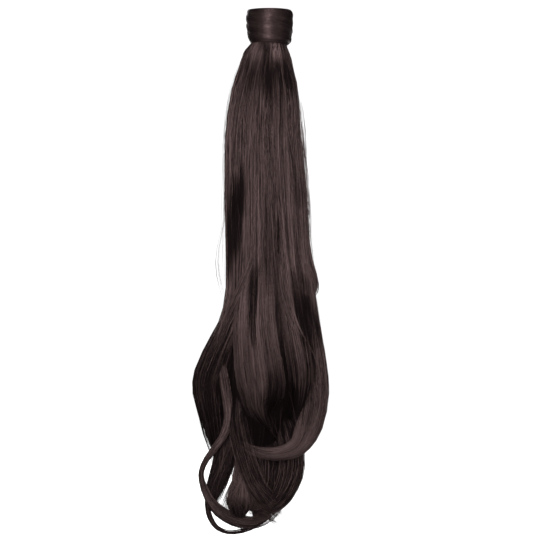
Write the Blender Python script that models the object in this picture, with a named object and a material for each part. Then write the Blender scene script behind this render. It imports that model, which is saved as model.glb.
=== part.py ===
"""Ponytail hairpiece: a wound collar of hair, sewn wefts on a band with a comb, and a long waved tail.

Lengths are in metres and +Z is up. The origin is the centre of the collar's top rim, where the piece
sits over the wearer's gathered hair. The front of the hairpiece faces -Y and the tail hangs along -Z.
"""

from math import cos, pi, sin
from typing import NamedTuple

import bmesh
import bpy
from mathutils import Vector

# Clearance between pieces that touch on the real hairpiece
SEAT_GAP = 0.0003

# Band: a woven ring round the wearer's gathered hair
HOLLOW_RADIUS = 0.0135
BAND_WALL = 0.0015
BAND_HEIGHT = 0.030
BAND_TOP_DROP = 0.0012

# Sewn root ends of the hair round the band
ROOTS_WALL = 0.0034
ROOTS_TUFTS = 20
ROOTS_TUFT_RELIEF = 0.0006

# Comb inside the band's front
COMB_WALL = 0.0012
COMB_TEETH = 7
COMB_TOOTH_WIDTH = 0.0012
COMB_TOOTH_GAP = 0.0017
COMB_TOOTH_LENGTH = 0.016
COMB_BAR_HEIGHT = 0.0045
COMB_TOP_DROP = 0.0035

# Wound hair round the roots
WRAP_OVERHANG = 0.006
WRAP_FOOT_WALL = 0.0024
WRAP_BULGE = 0.0030
WRAP_SHOULDER = 0.0014
WRAP_RIM_ROUND = 0.0012
WRAP_TURNS = 4
WRAP_TURN_RELIEF = 0.0007
WRAP_FOOT_TILT = 0.0028

# Hanging hair, from the collar's foot to the lowest tip
TAIL_LENGTH = 0.5225
TAIL_WIDTH = 0.144
TAIL_DEPTH = 0.110
HEAD_EDGE = 0.0008
HEAD_FLARE = 0.0010
HEAD_DEPTH = 0.045

# Mesh fineness
ROUND_SIDES = 48
TUFT_SIDES = 3
STEPS_PER_TURN = 5
STEPS_PER_SECTION = 2
LOCK_SIDES = 12
CURL_SIDES = 8
CURL_HALF_WIDTH = 0.007

# Sizes that follow from the ones above
BAND_RADIUS = HOLLOW_RADIUS + BAND_WALL
ROOTS_INNER = BAND_RADIUS + SEAT_GAP
ROOTS_RADIUS = ROOTS_INNER + ROOTS_WALL
WRAP_INNER = ROOTS_RADIUS + SEAT_GAP
WRAP_FOOT_RADIUS = WRAP_INNER + WRAP_FOOT_WALL
WRAP_HEIGHT = BAND_TOP_DROP + BAND_HEIGHT + WRAP_OVERHANG
BAND_FOOT = -BAND_TOP_DROP - BAND_HEIGHT
HEAD_TOP = BAND_FOOT - SEAT_GAP


class Section(NamedTuple):
    """One cross-section of a lock.

    down is a share of TAIL_LENGTH below the collar's foot. across and half_wide are shares of
    TAIL_WIDTH, and deep and half_deep are shares of TAIL_DEPTH, with the front at minus.
    """

    down: float
    across: float
    deep: float
    half_wide: float
    half_deep: float


class Root(NamedTuple):
    """Where a lock leaves the collar's foot: its middle and half its width, as shares of ROOTS_RADIUS."""

    across: float
    deep: float
    half: float


class Taper(NamedTuple):
    """One level of a comb's tooth, as shares of the tooth's length and width."""

    down: float
    half_wide: float


class Round(NamedTuple):
    """One level of the head: its radius as a share of the flared radius, and its share of HEAD_DEPTH."""

    radius: float
    down: float


COMB_TOOTH_TAPER = (
    Taper(0.60, 0.42),
    Taper(0.92, 0.30),
    Taper(1.00, 0.14),
)

HEAD_BULB = (
    Round(1.00, 0.12),
    Round(0.85, 0.50),
    Round(0.50, 1.00),
)

# The inner mass that the other locks lie on
CORE = (
    Section(0.10, -0.04, 0.00, 0.19, 0.21),
    Section(0.22, -0.04, 0.00, 0.23, 0.26),
    Section(0.36, -0.03, 0.01, 0.24, 0.29),
    Section(0.50, -0.01, 0.01, 0.27, 0.32),
    Section(0.62, -0.05, 0.01, 0.33, 0.37),
    Section(0.71, -0.07, 0.02, 0.36, 0.38),
    Section(0.79, -0.08, 0.03, 0.29, 0.33),
    Section(0.85, -0.10, 0.04, 0.21, 0.24),
    Section(0.90, -0.11, 0.04, 0.14, 0.15),
    Section(0.94, -0.09, 0.03, 0.08, 0.08),
)

# The left edge, straight above and swinging out into the wave below
LEFT_WAVE = (
    Section(0.02, -0.13, -0.03, 0.06, 0.10),
    Section(0.04, -0.155, -0.05, 0.06, 0.11),
    Section(0.10, -0.205, -0.05, 0.08, 0.15),
    Section(0.18, -0.24, -0.05, 0.085, 0.17),
    Section(0.30, -0.25, -0.03, 0.08, 0.18),
    Section(0.42, -0.25, -0.02, 0.075, 0.18),
    Section(0.50, -0.25, -0.02, 0.075, 0.19),
    Section(0.57, -0.285, -0.04, 0.09, 0.21),
    Section(0.63, -0.37, -0.06, 0.12, 0.23),
    Section(0.69, -0.435, -0.06, 0.135, 0.23),
    Section(0.75, -0.41, -0.04, 0.12, 0.20),
    Section(0.80, -0.385, -0.02, 0.10, 0.16),
    Section(0.85, -0.375, 0.00, 0.055, 0.10),
    Section(0.90, -0.405, 0.02, 0.03, 0.05),
)

# The right edge, rolling under to the left at its end
RIGHT_ROLL = (
    Section(0.02, 0.09, -0.02, 0.06, 0.10),
    Section(0.04, 0.105, -0.03, 0.06, 0.12),
    Section(0.10, 0.14, -0.03, 0.075, 0.16),
    Section(0.20, 0.155, -0.03, 0.08, 0.18),
    Section(0.32, 0.195, -0.02, 0.085, 0.19),
    Section(0.42, 0.21, -0.02, 0.085, 0.20),
    Section(0.52, 0.25, -0.04, 0.095, 0.22),
    Section(0.60, 0.275, -0.07, 0.11, 0.23),
    Section(0.67, 0.31, -0.10, 0.115, 0.23),
    Section(0.72, 0.32, -0.14, 0.11, 0.21),
    Section(0.77, 0.285, -0.19, 0.10, 0.18),
    Section(0.803, 0.21, -0.24, 0.08, 0.14),
    Section(0.817, 0.11, -0.27, 0.065, 0.11),
    Section(0.815, -0.02, -0.27, 0.05, 0.09),
    Section(0.80, -0.12, -0.25, 0.035, 0.07),
    Section(0.78, -0.19, -0.22, 0.02, 0.04),
)

# The large bright lock down the middle of the front
FRONT_SWEEP = (
    Section(0.02, -0.035, -0.09, 0.05, 0.10),
    Section(0.04, -0.05, -0.12, 0.06, 0.08),
    Section(0.10, -0.08, -0.16, 0.085, 0.11),
    Section(0.22, -0.10, -0.20, 0.11, 0.12),
    Section(0.36, -0.095, -0.22, 0.12, 0.13),
    Section(0.48, -0.10, -0.25, 0.13, 0.14),
    Section(0.565, -0.11, -0.29, 0.15, 0.16),
    Section(0.645, -0.09, -0.32, 0.165, 0.17),
    Section(0.71, -0.04, -0.33, 0.15, 0.16),
    Section(0.755, 0.03, -0.31, 0.11, 0.13),
    Section(0.785, 0.11, -0.27, 0.07, 0.09),
    Section(0.80, 0.18, -0.22, 0.03, 0.05),
)

# The lock between the front sweep and the right edge
FRONT_RIGHT = (
    Section(0.02, 0.035, -0.08, 0.05, 0.10),
    Section(0.04, 0.04, -0.11, 0.05, 0.09),
    Section(0.10, 0.06, -0.15, 0.075, 0.11),
    Section(0.22, 0.06, -0.19, 0.085, 0.12),
    Section(0.36, 0.09, -0.20, 0.09, 0.13),
    Section(0.48, 0.13, -0.22, 0.095, 0.13),
    Section(0.58, 0.19, -0.26, 0.10, 0.14),
    Section(0.66, 0.24, -0.29, 0.10, 0.14),
    Section(0.72, 0.26, -0.29, 0.09, 0.12),
    Section(0.765, 0.24, -0.28, 0.065, 0.09),
    Section(0.79, 0.20, -0.26, 0.04, 0.06),
)

# A short lock that leaves the right edge and ends in a small curled tip
SIDE_TIP = (
    Section(0.22, 0.18, -0.05, 0.020, 0.03),
    Section(0.32, 0.23, -0.06, 0.034, 0.05),
    Section(0.40, 0.26, -0.07, 0.034, 0.05),
    Section(0.45, 0.295, -0.08, 0.032, 0.045),
    Section(0.482, 0.333, -0.09, 0.028, 0.035),
    Section(0.503, 0.342, -0.10, 0.018, 0.025),
    Section(0.512, 0.315, -0.11, 0.012, 0.016),
    Section(0.500, 0.29, -0.115, 0.008, 0.010),
)

# The curl under the right roll, sweeping left at the bottom
LOWER_ROLL = (
    Section(0.74, 0.11, -0.10, 0.06, 0.10),
    Section(0.79, 0.15, -0.12, 0.08, 0.14),
    Section(0.84, 0.165, -0.13, 0.09, 0.15),
    Section(0.88, 0.15, -0.13, 0.09, 0.14),
    Section(0.918, 0.09, -0.12, 0.075, 0.12),
    Section(0.94, 0.01, -0.11, 0.055, 0.09),
    Section(0.95, -0.10, -0.10, 0.035, 0.06),
    Section(0.945, -0.19, -0.08, 0.02, 0.03),
)

# Hair that falls from behind the front sweep to the lower right
CENTRE_FALL = (
    Section(0.70, -0.22, -0.16, 0.06, 0.10),
    Section(0.76, -0.24, -0.19, 0.07, 0.12),
    Section(0.81, -0.21, -0.20, 0.07, 0.12),
    Section(0.86, -0.16, -0.19, 0.07, 0.11),
    Section(0.90, -0.10, -0.17, 0.06, 0.09),
    Section(0.93, -0.02, -0.15, 0.05, 0.07),
    Section(0.955, 0.06, -0.13, 0.03, 0.04),
)

# A fuzzy tuft under the hollow of the roll
CENTRE_TUFT = (
    Section(0.78, -0.16, -0.12, 0.06, 0.10),
    Section(0.85, -0.19, -0.14, 0.06, 0.09),
    Section(0.90, -0.20, -0.15, 0.07, 0.07),
    Section(0.935, -0.22, -0.14, 0.085, 0.055),
    Section(0.962, -0.20, -0.13, 0.06, 0.04),
)

# A short strip beside the left curl, ending where the curl turns under
INNER_STRIP = (
    Section(0.76, -0.28, -0.08, 0.06, 0.08),
    Section(0.82, -0.30, -0.08, 0.065, 0.07),
    Section(0.86, -0.34, -0.08, 0.055, 0.06),
    Section(0.90, -0.39, -0.08, 0.045, 0.045),
    Section(0.93, -0.42, -0.09, 0.030, 0.035),
)

# The thin curl at the left that swings out and sweeps under to the right
LEFT_CURL = (
    Section(0.71, -0.29, -0.20, 0.030, 0.05),
    Section(0.76, -0.30, -0.22, 0.030, 0.05),
    Section(0.795, -0.335, -0.22, 0.028, 0.045),
    Section(0.825, -0.41, -0.20, 0.024, 0.038),
    Section(0.85, -0.475, -0.17, 0.020, 0.033),
    Section(0.875, -0.505, -0.14, 0.019, 0.030),
    Section(0.90, -0.49, -0.12, 0.024, 0.032),
    Section(0.925, -0.45, -0.11, 0.030, 0.035),
    Section(0.950, -0.38, -0.10, 0.040, 0.040),
    Section(0.967, -0.28, -0.10, 0.044, 0.045),
    Section(0.975, -0.175, -0.11, 0.044, 0.045),
    Section(0.973, -0.08, -0.12, 0.038, 0.040),
    Section(0.960, 0.02, -0.13, 0.028, 0.032),
    Section(0.937, 0.10, -0.13, 0.016, 0.020),
)

# The lowest, thinnest strand, looping under the curls
BOTTOM_LOOP = (
    Section(0.86, -0.40, -0.02, 0.020, 0.025),
    Section(0.90, -0.45, -0.03, 0.018, 0.023),
    Section(0.935, -0.46, -0.04, 0.020, 0.022),
    Section(0.963, -0.445, -0.04, 0.020, 0.022),
    Section(0.985, -0.395, -0.05, 0.017, 0.020),
    Section(0.995, -0.32, -0.06, 0.014, 0.017),
    Section(0.995, -0.24, -0.07, 0.013, 0.016),
    Section(0.989, -0.16, -0.08, 0.012, 0.015),
    Section(0.978, -0.08, -0.10, 0.011, 0.014),
    Section(0.960, 0.00, -0.12, 0.010, 0.012),
    Section(0.940, 0.05, -0.12, 0.009, 0.011),
)

# Plain locks at the back, which the photograph does not show
BACK_CENTRE = (
    Section(0.02, -0.005, 0.10, 0.07, 0.095),
    Section(0.04, -0.01, 0.12, 0.08, 0.08),
    Section(0.10, -0.02, 0.17, 0.12, 0.10),
    Section(0.22, -0.03, 0.24, 0.14, 0.12),
    Section(0.38, -0.02, 0.27, 0.15, 0.12),
    Section(0.52, 0.00, 0.29, 0.16, 0.13),
    Section(0.64, -0.03, 0.34, 0.18, 0.14),
    Section(0.73, -0.08, 0.36, 0.16, 0.13),
    Section(0.80, -0.12, 0.32, 0.12, 0.11),
    Section(0.86, -0.13, 0.25, 0.08, 0.08),
    Section(0.90, -0.08, 0.19, 0.04, 0.05),
)
BACK_LEFT = (
    Section(0.02, -0.09, 0.06, 0.055, 0.11),
    Section(0.04, -0.11, 0.08, 0.06, 0.09),
    Section(0.10, -0.16, 0.12, 0.08, 0.10),
    Section(0.22, -0.18, 0.16, 0.10, 0.12),
    Section(0.38, -0.18, 0.17, 0.10, 0.12),
    Section(0.50, -0.19, 0.18, 0.10, 0.12),
    Section(0.60, -0.25, 0.20, 0.12, 0.14),
    Section(0.68, -0.32, 0.20, 0.13, 0.14),
    Section(0.75, -0.32, 0.17, 0.11, 0.12),
    Section(0.82, -0.27, 0.14, 0.08, 0.09),
    Section(0.88, -0.24, 0.12, 0.045, 0.05),
    Section(0.92, -0.26, 0.11, 0.02, 0.025),
)
BACK_RIGHT = (
    Section(0.02, 0.075, 0.06, 0.055, 0.11),
    Section(0.04, 0.08, 0.08, 0.05, 0.09),
    Section(0.10, 0.12, 0.12, 0.07, 0.10),
    Section(0.22, 0.13, 0.16, 0.09, 0.12),
    Section(0.38, 0.16, 0.17, 0.10, 0.12),
    Section(0.50, 0.18, 0.19, 0.11, 0.13),
    Section(0.60, 0.20, 0.22, 0.12, 0.14),
    Section(0.68, 0.23, 0.22, 0.13, 0.14),
    Section(0.74, 0.20, 0.22, 0.11, 0.13),
    Section(0.79, 0.13, 0.22, 0.08, 0.10),
    Section(0.83, 0.03, 0.22, 0.055, 0.07),
    Section(0.855, -0.05, 0.21, 0.03, 0.04),
)

# Locks that leave the collar, with their roots
ROOTED_LOCKS = (
    (Root(0.00, 0.00, 0.70), CORE),
    (Root(-0.60, -0.10, 0.36), LEFT_WAVE),
    (Root(0.55, -0.10, 0.38), RIGHT_ROLL),
    (Root(-0.15, -0.45, 0.38), FRONT_SWEEP),
    (Root(0.23, -0.42, 0.38), FRONT_RIGHT),
    (Root(0.00, 0.45, 0.38), BACK_CENTRE),
    (Root(-0.42, 0.32, 0.38), BACK_LEFT),
    (Root(0.42, 0.32, 0.38), BACK_RIGHT),
)

# Locks that part from the others lower down
PARTED_LOCKS = (
    SIDE_TIP,
    LOWER_ROLL,
    CENTRE_FALL,
    CENTRE_TUFT,
    INNER_STRIP,
    LEFT_CURL,
    BOTTOM_LOOP,
)


def clear_objects():
    for old in list(bpy.data.objects):
        bpy.data.objects.remove(old, do_unlink=True)


def make_material(name, colour, roughness):
    material = bpy.data.materials.new(name)
    material.use_nodes = True
    shader = material.node_tree.nodes["Principled BSDF"]
    shader.inputs["Base Color"].default_value = (*colour, 1.0)
    shader.inputs["Roughness"].default_value = roughness
    shader.inputs["Metallic"].default_value = 0.0
    return material


def add_part(name, bm, material):
    """Close off a bmesh as one named, smooth-shaded object with its own material."""
    bmesh.ops.recalc_face_normals(bm, faces=bm.faces[:])
    mesh = bpy.data.meshes.new(name)
    bm.to_mesh(mesh)
    bm.free()
    mesh.shade_smooth()
    mesh.materials.append(material)
    part = bpy.data.objects.new(name, mesh)
    bpy.context.scene.collection.objects.link(part)
    return part


def bridge_rings(bm, rings, closed):
    """Join rings of vertices with quads, and the last ring to the first one if closed."""
    count = len(rings[0])
    spans = len(rings) if closed else len(rings) - 1
    for index in range(spans):
        upper = rings[index]
        lower = rings[(index + 1) % len(rings)]
        for side in range(count):
            after = (side + 1) % count
            bm.faces.new((upper[side], upper[after], lower[after], lower[side]))


def ring_wall(sides, profile_at):
    """A closed ring whose wall section, at each angle round Z, is profile_at(angle) as (radius, z) pairs."""
    bm = bmesh.new()
    sections = []
    for side in range(sides):
        angle = 2 * pi * side / sides
        points = profile_at(angle)
        sections.append([bm.verts.new((r * cos(angle), r * sin(angle), z)) for r, z in points])
    bridge_rings(bm, sections, closed=True)
    return bm


def make_base_band():
    """The woven ring, with its edges eased by a small chamfer."""
    ease = BAND_WALL / 4
    top = -BAND_TOP_DROP
    profile = (
        (HOLLOW_RADIUS, top - ease),
        (HOLLOW_RADIUS + ease, top),
        (BAND_RADIUS - ease, top),
        (BAND_RADIUS, top - ease),
        (BAND_RADIUS, BAND_FOOT + ease),
        (BAND_RADIUS - ease, BAND_FOOT),
        (HOLLOW_RADIUS + ease, BAND_FOOT),
        (HOLLOW_RADIUS, BAND_FOOT + ease),
    )
    bm = ring_wall(ROUND_SIDES, lambda angle: profile)
    return add_part("base_band", bm, make_material("woven_band", (0.020, 0.015, 0.014), 0.9))


def make_weft_roots():
    """The root ends of the hair, a sleeve whose top edge turns over in small tufts."""
    turn_over = ROOTS_WALL / 3
    middle = (ROOTS_INNER + ROOTS_RADIUS) / 2

    def profile_at(angle):
        dip = ROOTS_TUFT_RELIEF * (1 - abs(cos(ROOTS_TUFTS * angle / 2)))
        top = -BAND_TOP_DROP - dip
        outer = ROOTS_RADIUS - dip
        return (
            (ROOTS_INNER, top - turn_over),
            (middle, top),
            (outer, top - turn_over),
            (outer, BAND_FOOT),
            (ROOTS_INNER, BAND_FOOT),
        )

    bm = ring_wall(ROOTS_TUFTS * TUFT_SIDES, profile_at)
    return add_part("weft_roots", bm, make_material("root_hair", (0.035, 0.024, 0.022), 0.5))


def wrap_outer_radius(down, angle):
    """Radius of the wound hair at a share of its height below the rim: a barrel with slanting turns."""
    barrel_start = 0.28
    shoulder_share = 0.16
    barrel = WRAP_BULGE * sin(pi * (barrel_start + (1 - barrel_start) * down))
    shoulder = WRAP_SHOULDER * max(0.0, 1 - down / shoulder_share) ** 2
    turn = WRAP_TURN_RELIEF * (abs(sin(pi * WRAP_TURNS * down - angle / 2)) - 0.5)
    return WRAP_FOOT_RADIUS + barrel - shoulder + turn


def make_wrap():
    """The wound hair: a hollow barrel whose foot is lower on the right, with one slanting ridge a turn."""
    steps = WRAP_TURNS * STEPS_PER_TURN

    def profile_at(angle):
        foot = -WRAP_HEIGHT - WRAP_FOOT_TILT * cos(angle) / 2
        rim = (wrap_outer_radius(0.0, angle) - WRAP_RIM_ROUND, 0.0)
        foot_edge = (wrap_outer_radius(1.0, angle) - WRAP_RIM_ROUND, foot)
        shares = [step / steps for step in range(1, steps)]
        outer = [(wrap_outer_radius(down, angle), down * foot) for down in shares]
        inner = [(WRAP_INNER, foot + WRAP_RIM_ROUND), (WRAP_INNER, foot / 2), (WRAP_INNER, -WRAP_RIM_ROUND)]
        return [rim, *outer, foot_edge, *inner]

    bm = ring_wall(ROUND_SIDES, profile_at)
    return add_part("wrap", bm, make_material("wound_hair", (0.040, 0.028, 0.025), 0.4))


def make_comb():
    """A comb bent to the band: a bar with teeth that taper to round tips, pointing down."""
    pitch = COMB_TOOTH_WIDTH + COMB_TOOTH_GAP
    outer_radius = HOLLOW_RADIUS - SEAT_GAP
    bar_top = -COMB_TOP_DROP
    bar_foot = bar_top - COMB_BAR_HEIGHT
    width = COMB_TEETH * COMB_TOOTH_WIDTH + (COMB_TEETH - 1) * COMB_TOOTH_GAP

    bm = bmesh.new()

    def bent(along, z):
        """A point of the flat comb laid on the band's inside, centred on its front."""
        angle = -pi / 2 + (along - width / 2) / outer_radius
        return bm.verts.new((outer_radius * cos(angle), outer_radius * sin(angle), z))

    edges = []
    for tooth in range(COMB_TEETH):
        edges += [tooth * pitch, tooth * pitch + COMB_TOOTH_WIDTH]
    top_row = [bent(along, bar_top) for along in edges]
    foot_row = [bent(along, bar_foot) for along in edges]
    for left in range(len(edges) - 1):
        bm.faces.new((top_row[left], top_row[left + 1], foot_row[left + 1], foot_row[left]))
    for tooth in range(COMB_TEETH):
        row = foot_row[2 * tooth : 2 * tooth + 2]
        middle = tooth * pitch + COMB_TOOTH_WIDTH / 2
        for level in COMB_TOOTH_TAPER:
            half = COMB_TOOTH_WIDTH * level.half_wide
            z = bar_foot - COMB_TOOTH_LENGTH * level.down
            below = [bent(middle - half, z), bent(middle + half, z)]
            bm.faces.new((row[0], row[1], below[1], below[0]))
            row = below

    skin = bmesh.ops.extrude_face_region(bm, geom=bm.faces[:])
    inward = (outer_radius - COMB_WALL) / outer_radius
    for vert in (item for item in skin["geom"] if isinstance(item, bmesh.types.BMVert)):
        vert.co.x *= inward
        vert.co.y *= inward
    return add_part("comb", bm, make_material("comb_plastic", (0.012, 0.010, 0.010), 0.35))


def placed(row):
    """A section's place and half sizes in metres: x, y, z, half width, half depth."""
    return (
        row.across * TAIL_WIDTH,
        row.deep * TAIL_DEPTH,
        -WRAP_HEIGHT - row.down * TAIL_LENGTH,
        row.half_wide * TAIL_WIDTH,
        row.half_deep * TAIL_DEPTH,
    )


def placed_root(root):
    """A root's place and half sizes in metres, inside the collar's foot."""
    half = root.half * ROOTS_RADIUS
    return (root.across * ROOTS_RADIUS, root.deep * ROOTS_RADIUS, -WRAP_HEIGHT, half, half)


def smooth_rows(rows):
    """The given rows and others between them, on a smooth curve that passes through them all."""
    smooth = []
    last = len(rows) - 1
    for index in range(last):
        before = rows[max(index - 1, 0)]
        start = rows[index]
        end = rows[index + 1]
        after = rows[min(index + 2, last)]
        for step in range(STEPS_PER_SECTION):
            t = step / STEPS_PER_SECTION
            smooth.append([
                0.5 * (2 * b + (c - a) * t + (2 * a - 5 * b + 4 * c - d) * t * t
                       + (3 * b - a - 3 * c + d) * t ** 3)
                for a, b, c, d in zip(before, start, end, after)
            ])
    smooth.append(list(rows[last]))
    return smooth


def make_lock(rows):
    """A closed tube of elliptical sections along a lock, ending in a point."""
    thin = max(row[3] for row in rows) < CURL_HALF_WIDTH
    sides = CURL_SIDES if thin else LOCK_SIDES
    sections = smooth_rows(rows)
    centres = [Vector(section[:3]) for section in sections]
    bm = bmesh.new()
    rings = []
    for index, centre in enumerate(centres):
        half_wide, half_deep = sections[index][3:]
        run = centres[min(index + 1, len(centres) - 1)] - centres[max(index - 1, 0)]
        wide = run.cross(Vector((0, 1, 0))).normalized()
        thick = wide.cross(run).normalized()
        ring = []
        for side in range(sides):
            angle = 2 * pi * side / sides
            ring.append(bm.verts.new(centre + wide * half_wide * cos(angle) + thick * half_deep * sin(angle)))
        rings.append(ring)
    bridge_rings(bm, rings, closed=False)
    bm.faces.new(rings[0])
    end_run = (centres[-1] - centres[-2]).normalized()
    tip = bm.verts.new(centres[-1] + end_run * sections[-1][3])
    for side in range(sides):
        bm.faces.new((rings[-1][side], rings[-1][(side + 1) % sides], tip))
    return add_part("lock", bm, bpy.data.materials["hanging_hair"])


def make_head():
    """The gathered hair under the band: a neck inside the collar, and a bulb below its foot."""
    foot = -WRAP_HEIGHT
    neck_foot = foot - WRAP_FOOT_TILT / 2 - SEAT_GAP
    flared = WRAP_FOOT_RADIUS + HEAD_FLARE
    levels = [
        (ROOTS_RADIUS - HEAD_EDGE, HEAD_TOP),
        (ROOTS_RADIUS, HEAD_TOP - HEAD_EDGE),
        (ROOTS_RADIUS, neck_foot),
    ]
    levels += [(flared * level.radius, neck_foot - HEAD_DEPTH * level.down) for level in HEAD_BULB]
    bm = bmesh.new()
    rings = []
    for radius, z in levels:
        ring = []
        for side in range(ROUND_SIDES):
            angle = 2 * pi * side / ROUND_SIDES
            ring.append(bm.verts.new((radius * cos(angle), radius * sin(angle), z)))
        rings.append(ring)
    bridge_rings(bm, rings, closed=False)
    bm.faces.new(rings[0])
    bm.faces.new(rings[-1])
    return add_part("tail", bm, make_material("hanging_hair", (0.040, 0.028, 0.025), 0.4))


def fuse(body, piece):
    """Join a piece to a body as one closed solid.

    The manifold solver is used because the exact one loses the body at some sizes of the tail.
    """
    union = body.modifiers.new("fuse", "BOOLEAN")
    union.operation = "UNION"
    union.solver = "MANIFOLD"
    union.object = piece
    graph = bpy.context.evaluated_depsgraph_get()
    fused = bpy.data.meshes.new_from_object(body.evaluated_get(graph))
    body.modifiers.remove(union)
    body.data = fused
    bpy.data.objects.remove(piece, do_unlink=True)


def make_tail():
    """The hanging hair: every lock fused to the head under the band."""
    tail = make_head()
    for root, rows in ROOTED_LOCKS:
        fuse(tail, make_lock([placed_root(root), *map(placed, rows)]))
    for rows in PARTED_LOCKS:
        fuse(tail, make_lock([placed(row) for row in rows]))
    return tail


def main():
    clear_objects()
    make_base_band()
    make_weft_roots()
    make_comb()
    make_wrap()
    make_tail()


main()
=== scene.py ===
"""Dresses the ponytail hairpiece: strands over its locks and collar, its band, comb and a studio."""

from math import cos, pi, radians, sin
from typing import NamedTuple

import bpy
import numpy as np
from bpy.props import FloatProperty, FloatVectorProperty, IntProperty, PointerProperty
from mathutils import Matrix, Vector


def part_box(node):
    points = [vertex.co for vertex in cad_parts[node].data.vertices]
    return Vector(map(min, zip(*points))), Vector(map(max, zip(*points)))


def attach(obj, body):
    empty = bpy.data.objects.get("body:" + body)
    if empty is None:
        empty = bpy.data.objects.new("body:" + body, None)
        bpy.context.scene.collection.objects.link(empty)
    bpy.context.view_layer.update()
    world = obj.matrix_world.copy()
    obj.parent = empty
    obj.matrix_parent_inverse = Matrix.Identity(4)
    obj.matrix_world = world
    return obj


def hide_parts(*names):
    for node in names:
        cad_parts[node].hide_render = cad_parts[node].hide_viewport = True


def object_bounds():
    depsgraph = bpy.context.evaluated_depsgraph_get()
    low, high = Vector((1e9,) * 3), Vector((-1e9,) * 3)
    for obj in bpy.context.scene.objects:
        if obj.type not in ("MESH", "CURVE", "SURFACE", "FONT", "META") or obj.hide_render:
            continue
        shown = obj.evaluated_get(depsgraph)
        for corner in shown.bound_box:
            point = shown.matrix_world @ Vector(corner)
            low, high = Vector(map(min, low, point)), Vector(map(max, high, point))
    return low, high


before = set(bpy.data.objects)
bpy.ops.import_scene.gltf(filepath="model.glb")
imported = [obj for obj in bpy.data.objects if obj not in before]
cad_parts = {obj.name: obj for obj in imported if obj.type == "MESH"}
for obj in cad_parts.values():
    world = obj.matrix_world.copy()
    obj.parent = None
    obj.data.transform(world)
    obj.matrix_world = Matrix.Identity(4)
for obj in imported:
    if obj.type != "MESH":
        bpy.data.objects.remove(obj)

bl_info = {
    "name": "Ponytail Hairpiece",
    "version": (1, 0, 0),
    "blender": (4, 5, 0),
    "location": "3D View > Sidebar > Ponytail",
    "description": "Lays hair over a ponytail hairpiece's locks and wound collar",
    "category": "Object",
}

CAD_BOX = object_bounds()

# Sizes read from the frame
TAIL_LOW, TAIL_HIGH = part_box("tail")
WRAP_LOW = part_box("wrap")[0]
ROOTS_LOW, ROOTS_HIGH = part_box("weft_roots")
BAND_LOW, BAND_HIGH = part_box("base_band")

# The collar: its foot is lower on the right, so its height is the mean of the two sides
FOOT_TILT = 0.0028
COLLAR_HEIGHT = -WRAP_LOW.z - FOOT_TILT / 2
ROOTS_RADIUS = ROOTS_HIGH.x
ROOTS_INNER = BAND_HIGH.x + 0.0003
COLLAR_INNER = ROOTS_RADIUS + 0.0003
COLLAR_FOOT_RADIUS = COLLAR_INNER + 0.0024
COLLAR_BULGE = 0.0030
COLLAR_SHOULDER = 0.0014
COLLAR_TURN_RELIEF = 0.0007
COLLAR_TURNS = 4
COLLAR_RIM_ROUND = 0.0012
COLLAR_FOOT_ROUND = 0.0034
COLLAR_FOOT_SHARE = 0.85
COLLAR_SINK = 0.0005
BARREL_START = 0.28
SHOULDER_SHARE = 0.16
ROOTS_TUFTS = 20
ROOTS_TUFT_RELIEF = 0.0006
ROOTS_SINK = 0.0003
HOLLOW_RADIUS = 0.0135

# The tail's locks are given as shares of these sizes, and reach this much of them
WIDTH_REACH = 1.002
DEPTH_REACH = 0.988
TAIL_WIDTH = (TAIL_HIGH.x - TAIL_LOW.x) / WIDTH_REACH
TAIL_DEPTH = (TAIL_HIGH.y - TAIL_LOW.y) / DEPTH_REACH
TAIL_LENGTH = -COLLAR_HEIGHT - TAIL_LOW.z

# How finely lines and shells follow their paths: the longest step, and the largest turn in degrees
GUIDE_STEP = 0.038
GUIDE_TURN = 14.0
BODY_STEP = 0.012
BODY_TURN = 6.0
BODY_SIDES = 72
THIN_SIDES = 24
THIN_LOCK = 0.007

# What a grown piece's mesh keeps of its attributes, which its material reads
KEPT_ATTRIBUTES = ("tone", "along")

# How fast the lay of packed hair changes along it, and where a lock narrows inside the collar
LAY_STRETCH = 0.03
NECK_SHARE = 0.93

# Strands waver from a phase between 0 and this
LAST_PHASE = 900.0

# The point of the hairpiece's middle plane that the camera faces
VIEW_CENTRE_X = 0.0005
VIEW_CENTRE_Z = -0.2779

# For the layers that leave the collar all round: their root, and the painted shade of the fan just below the
# foot
WHOLE_FOOT = (0.0, 0.0, 0.99)
FAN_SHADE = ((0.02, 0.0), (0.05, -0.22), (0.09, -0.18), (0.13, 0.0))


class Cover(NamedTuple):
    """How strands cover a lock.

    face is the angle round the lock that they are centred on, where -90 is the front, 0 the right,
    and arc how far round they spread, both in degrees. clumps are laid side by side, each of so many
    strands. loose_start and loose_end are the shares of the lock within which strands begin and end.
    fray is how far strands stand off the lock at its tip, as a share of its half size. shade is painted shade
    and painted highlights on their tone, in pairs of a share of TAIL_LENGTH down and the change there. fine
    is their width as a share of the usual one. mess is how much more than usual they wander.
    """

    face: float
    arc: float
    clumps: int
    strands: int
    loose_start: float = 0.0
    loose_end: float = 0.12
    fray: float = 0.10
    shade: tuple = ((0.0, 0.0),)
    fine: float = 1.0
    mess: float = 1.0


class Lock(NamedTuple):
    """A lock: its name, root, sections, the share of its length that is packed hair, and its strands.

    root is where it leaves the collar's foot, if it does: its middle across and deep and half its width,
    as shares of ROOTS_RADIUS. A section is a share of TAIL_LENGTH below the foot, then the middle across
    and deep and the half width and half depth, as shares of TAIL_WIDTH and TAIL_DEPTH, front at minus.
    """

    name: str
    root: tuple | None
    sections: np.ndarray
    packed: float
    cover: Cover


class Cleft(NamedTuple):
    """A place where the front of the hair lies back or stands out, with shade or a highlight painted into it.

    shift is shade, below 0, or a highlight, above 0, painted into the strands' tone there, and
    depth is how far they lie back, in metres. rows hold, from the top, a share of TAIL_LENGTH down, the
    middle and half width as shares of TAIL_WIDTH, and how strongly it shows.
    """

    shift: float
    depth: float
    rows: np.ndarray


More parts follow.
